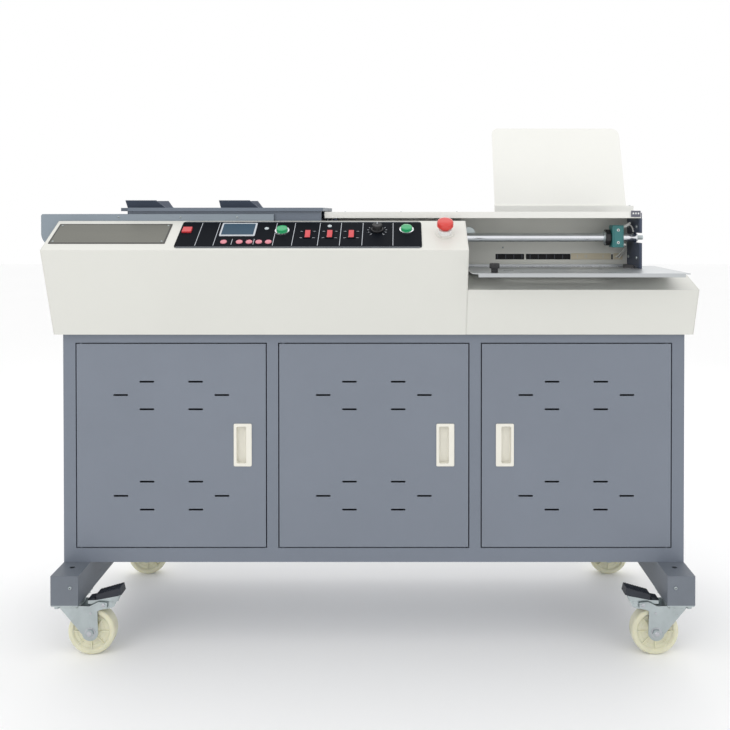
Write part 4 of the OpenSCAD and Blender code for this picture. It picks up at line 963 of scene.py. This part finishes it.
def makeHinges():  # knuckles at each door's corners
    for i, hand in enumerate(("left", "middle", "right")):
        x = (i - 1) * hingeLook["doorPitch"] + hingeLook["sides"][i] * hingeLook["fromMiddle"]
        bm = bmesh.new()
        for z in hingeLook["heights"]:
            addBar(bm, spot(x, 6, z), hingeLook["radius"], hingeLook["length"], (0, 0, 1), 0.5, 24)
        finishPiece(f"hinge_bush_{hand}", bm, "zinc", f"door_{hand}")


motorLook = {"millAt": (-105, 196, 752), "millFins": 7, "millRadius": 37, "millPitch": 14,
             "gearAt": (-490, 210, 733), "gearFins": 5, "gearRadius": 35, "gearPitch": 16}


def addFins(bm, count, radius, pitch, at, axis):  # cooling fins along a motor
    for i in range(count):
        h = i * pitch
        addTurned(bm, [(radius, h), (radius + 3.5, h + 0.4), (radius + 3.5, h + 3),
                       (radius, h + 3.4)], spot(*at), axis, 48)


def makeMotorTrim():
    bm = bmesh.new()
    for name, axis in (("mill", (0, 0, 1)), ("gear", (1, 0, 0))):
        addFins(bm, motorLook[name + "Fins"], motorLook[name + "Radius"],
                motorLook[name + "Pitch"], motorLook[name + "At"], axis)
    addBlock(bm, (-160, 234, 770), (-120, 262, 800), 2, 3)
    for y in (160, 232):
        for x in (-140, -70):
            addHex(bm, spot(x, y, 688), 12, 5, (0, 0, 1), 1)
    finishPiece("motor_trim", bm, "motor", "frame", (), 34, ("zinc",))


glueLook = {"rollersAt": (-24, 29), "rollerStart": (152, 872), "rollerRadius": 22, "grooves": 14,
            "groovePitch": 4.2, "bath": ((-47.8, 158.2, 819.2), (52.8, 231.8, 846)),
            "heater": ((-44, 160, 811), (49, 230, 815)), "terminals": (-30, 36)}


def makeGlueStation():
    for i, x in enumerate(glueLook["rollersAt"]):
        name = f"glue_roller_{i + 1}"
        bm = bmesh.new()
        r = glueLook["rollerRadius"]
        profile = [(0, 0), (3.9, 0), (4, 0.3), (4, 12), (r - 0.8, 12), (r, 12.8)]
        for k in range(glueLook["grooves"]):
            z = 16 + k * glueLook["groovePitch"]
            profile += [(r, z), (r - 0.5, z + 0.5), (r - 0.5, z + 1.1), (r, z + 1.6)]
        profile += [(r, 75.2), (r - 0.8, 76), (4, 76), (4, 85.7), (3.9, 86), (0, 86)]
        addTurned(bm, profile, spot(x, *glueLook["rollerStart"]), (0, 1, 0), 64)
        finishPiece(f"applicator_{i + 1}", bm, "steel", name, (name,), 30)
    bm = bmesh.new()
    addBlock(bm, *glueLook["bath"], 0.6, 2)
    finishPiece("glue_bath", bm, "glue", "frame")
    bm = bmesh.new()  # heater plate and its terminals under the tank
    addBlock(bm, *glueLook["heater"], 0.8, 2)
    for x in glueLook["terminals"]:
        addBar(bm, spot(x, 152, 813), 2, 8, (0, 1, 0), 0.4, 16, 1)
    finishPiece("heater_plate", bm, "darkFrame", "frame", (), 34, ("brass",))


casterLook = {  # profiles of the fastenings on a fork's legs, and how far out they sit
    "cap": [(0, 0), (5.6, 0), (5.6, 1.2), (4.2, 2.6), (0, 3)], "capOut": 26.6,
    "washer": [(0, 0), (11.6, 0), (11.6, 1), (9, 1.4), (0, 1.4)], "washerOut": 20.6,
    "rivet": [(0, 0), (2.8, 0), (2.6, 1), (0, 1.6)], "rivetAt": (46, 92),
    "pivot": [(0, 0), (4.2, 0), (4, 1.4), (2.6, 2.2), (0, 2.4)], "pivotAt": (73, 109),
    "legOut": 20.8,
}


def makeCasterTrim():
    axleZ = wheelLook["radius"]
    for end, y in casterY.items():
        for side, hand in ((-1, "left"), (1, "right")):
            bm = bmesh.new()
            for face in (-1, 1):
                out = (0, face, 0)
                axle = side * casterX
                addTurned(bm, casterLook["cap"],
                          spot(axle, y + face * casterLook["capOut"], axleZ), out, 32)
                addTurned(bm, casterLook["washer"],
                          spot(axle, y + face * casterLook["washerOut"], axleZ), out, 40)
                leg = y + face * casterLook["legOut"]
                u, z = casterLook["rivetAt"]
                addTurned(bm, casterLook["rivet"], spot(side * (swivelX - u), leg, z), out, 20)
                u, z = casterLook["pivotAt"]
                if end == "front":
                    addTurned(bm, casterLook["pivot"], spot(side * (swivelX - u), leg, z), out, 24)
            finishPiece(f"axle_caps_{end}_{hand}", bm, "steel", f"fork_{end}_{hand}")


makeCasterTrim()
makeFastenings()
makeHinges()
makeMotorTrim()
makeGlueStation()
print("fastenings and works made")


# ---- floor, light and camera ----

studio = {"floor": (0.97, 0.97, 0.97), "sky": 1.0}
lights = {  # place, aim, size, power and colour
    "key": ((-2.2, -3.2, 2.8), (0, 0, 0.7), (2.4, 2.0), 20, (1, 0.985, 0.96)),
    "fill": ((2.8, -2.8, 1.9), (0, 0, 0.6), (2.2, 2.2), 7, (0.97, 0.985, 1)),
    "top": ((0, 0.2, 3.2), (0, 0, 0.6), (3.0, 1.6), 8, (1, 1, 1)),
    "back": ((0.4, 2.8, 2.2), (0, 0, 0.8), (2.6, 1.4), 8, (1, 1, 1)),
}
scene.view_settings.view_transform = "Standard"


def makeFloor():
    bm = bmesh.new()
    bmesh.ops.create_grid(bm, x_segments=2, y_segments=2, size=14)
    mesh = bpy.data.meshes.new("studio_floor")
    bm.to_mesh(mesh)
    bm.free()
    floor = bpy.data.objects.new("studio_floor", mesh)
    scene.collection.objects.link(floor)
    makeFinish("floor", "paleFloor", studio["floor"], 0.7, mottle=0.005, mottleScale=1, grain=80,
               grainHeight=0.01)
    mesh.materials.append(finishes["floor"])


def addLight(name, at, aim, size, power, colour):
    lamp = bpy.data.lights.new(name, "AREA")
    lamp.shape = "RECTANGLE"
    lamp.size, lamp.size_y = size
    lamp.energy = power
    lamp.color = colour
    thing = bpy.data.objects.new(name, lamp)
    thing.location = at
    thing.rotation_euler = (Vector(aim) - Vector(at)).to_track_quat("-Z", "Y").to_euler()
    scene.collection.objects.link(thing)


def makeSky():
    world = bpy.data.worlds.new("studio")
    world.use_nodes = True
    back = world.node_tree.nodes["Background"]
    back.inputs["Color"].default_value = (1, 1, 1, 1)
    back.inputs["Strength"].default_value = studio["sky"]
    scene.world = world


makeFloor()
makeSky()
for name, settings in lights.items():
    addLight(name, *settings)

view = {"at": (0.0745, -2.0525, 0.9416), "pitch": 0.612, "lens": 43.02, "shiftX": -0.0464,
        "shiftY": -0.195}
camera = bpy.data.cameras.new("camera")
camera.lens = view["lens"]
camera.sensor_width = 36
camera.shift_x, camera.shift_y = view["shiftX"], view["shiftY"]
camera.dof.use_dof = False
cameraObject = bpy.data.objects.new("camera", camera)
cameraObject.location = view["at"]
cameraObject.rotation_euler = (math.radians(90 - view["pitch"]), 0, 0)
scene.collection.objects.link(cameraObject)
scene.camera = cameraObject
print("studio set")
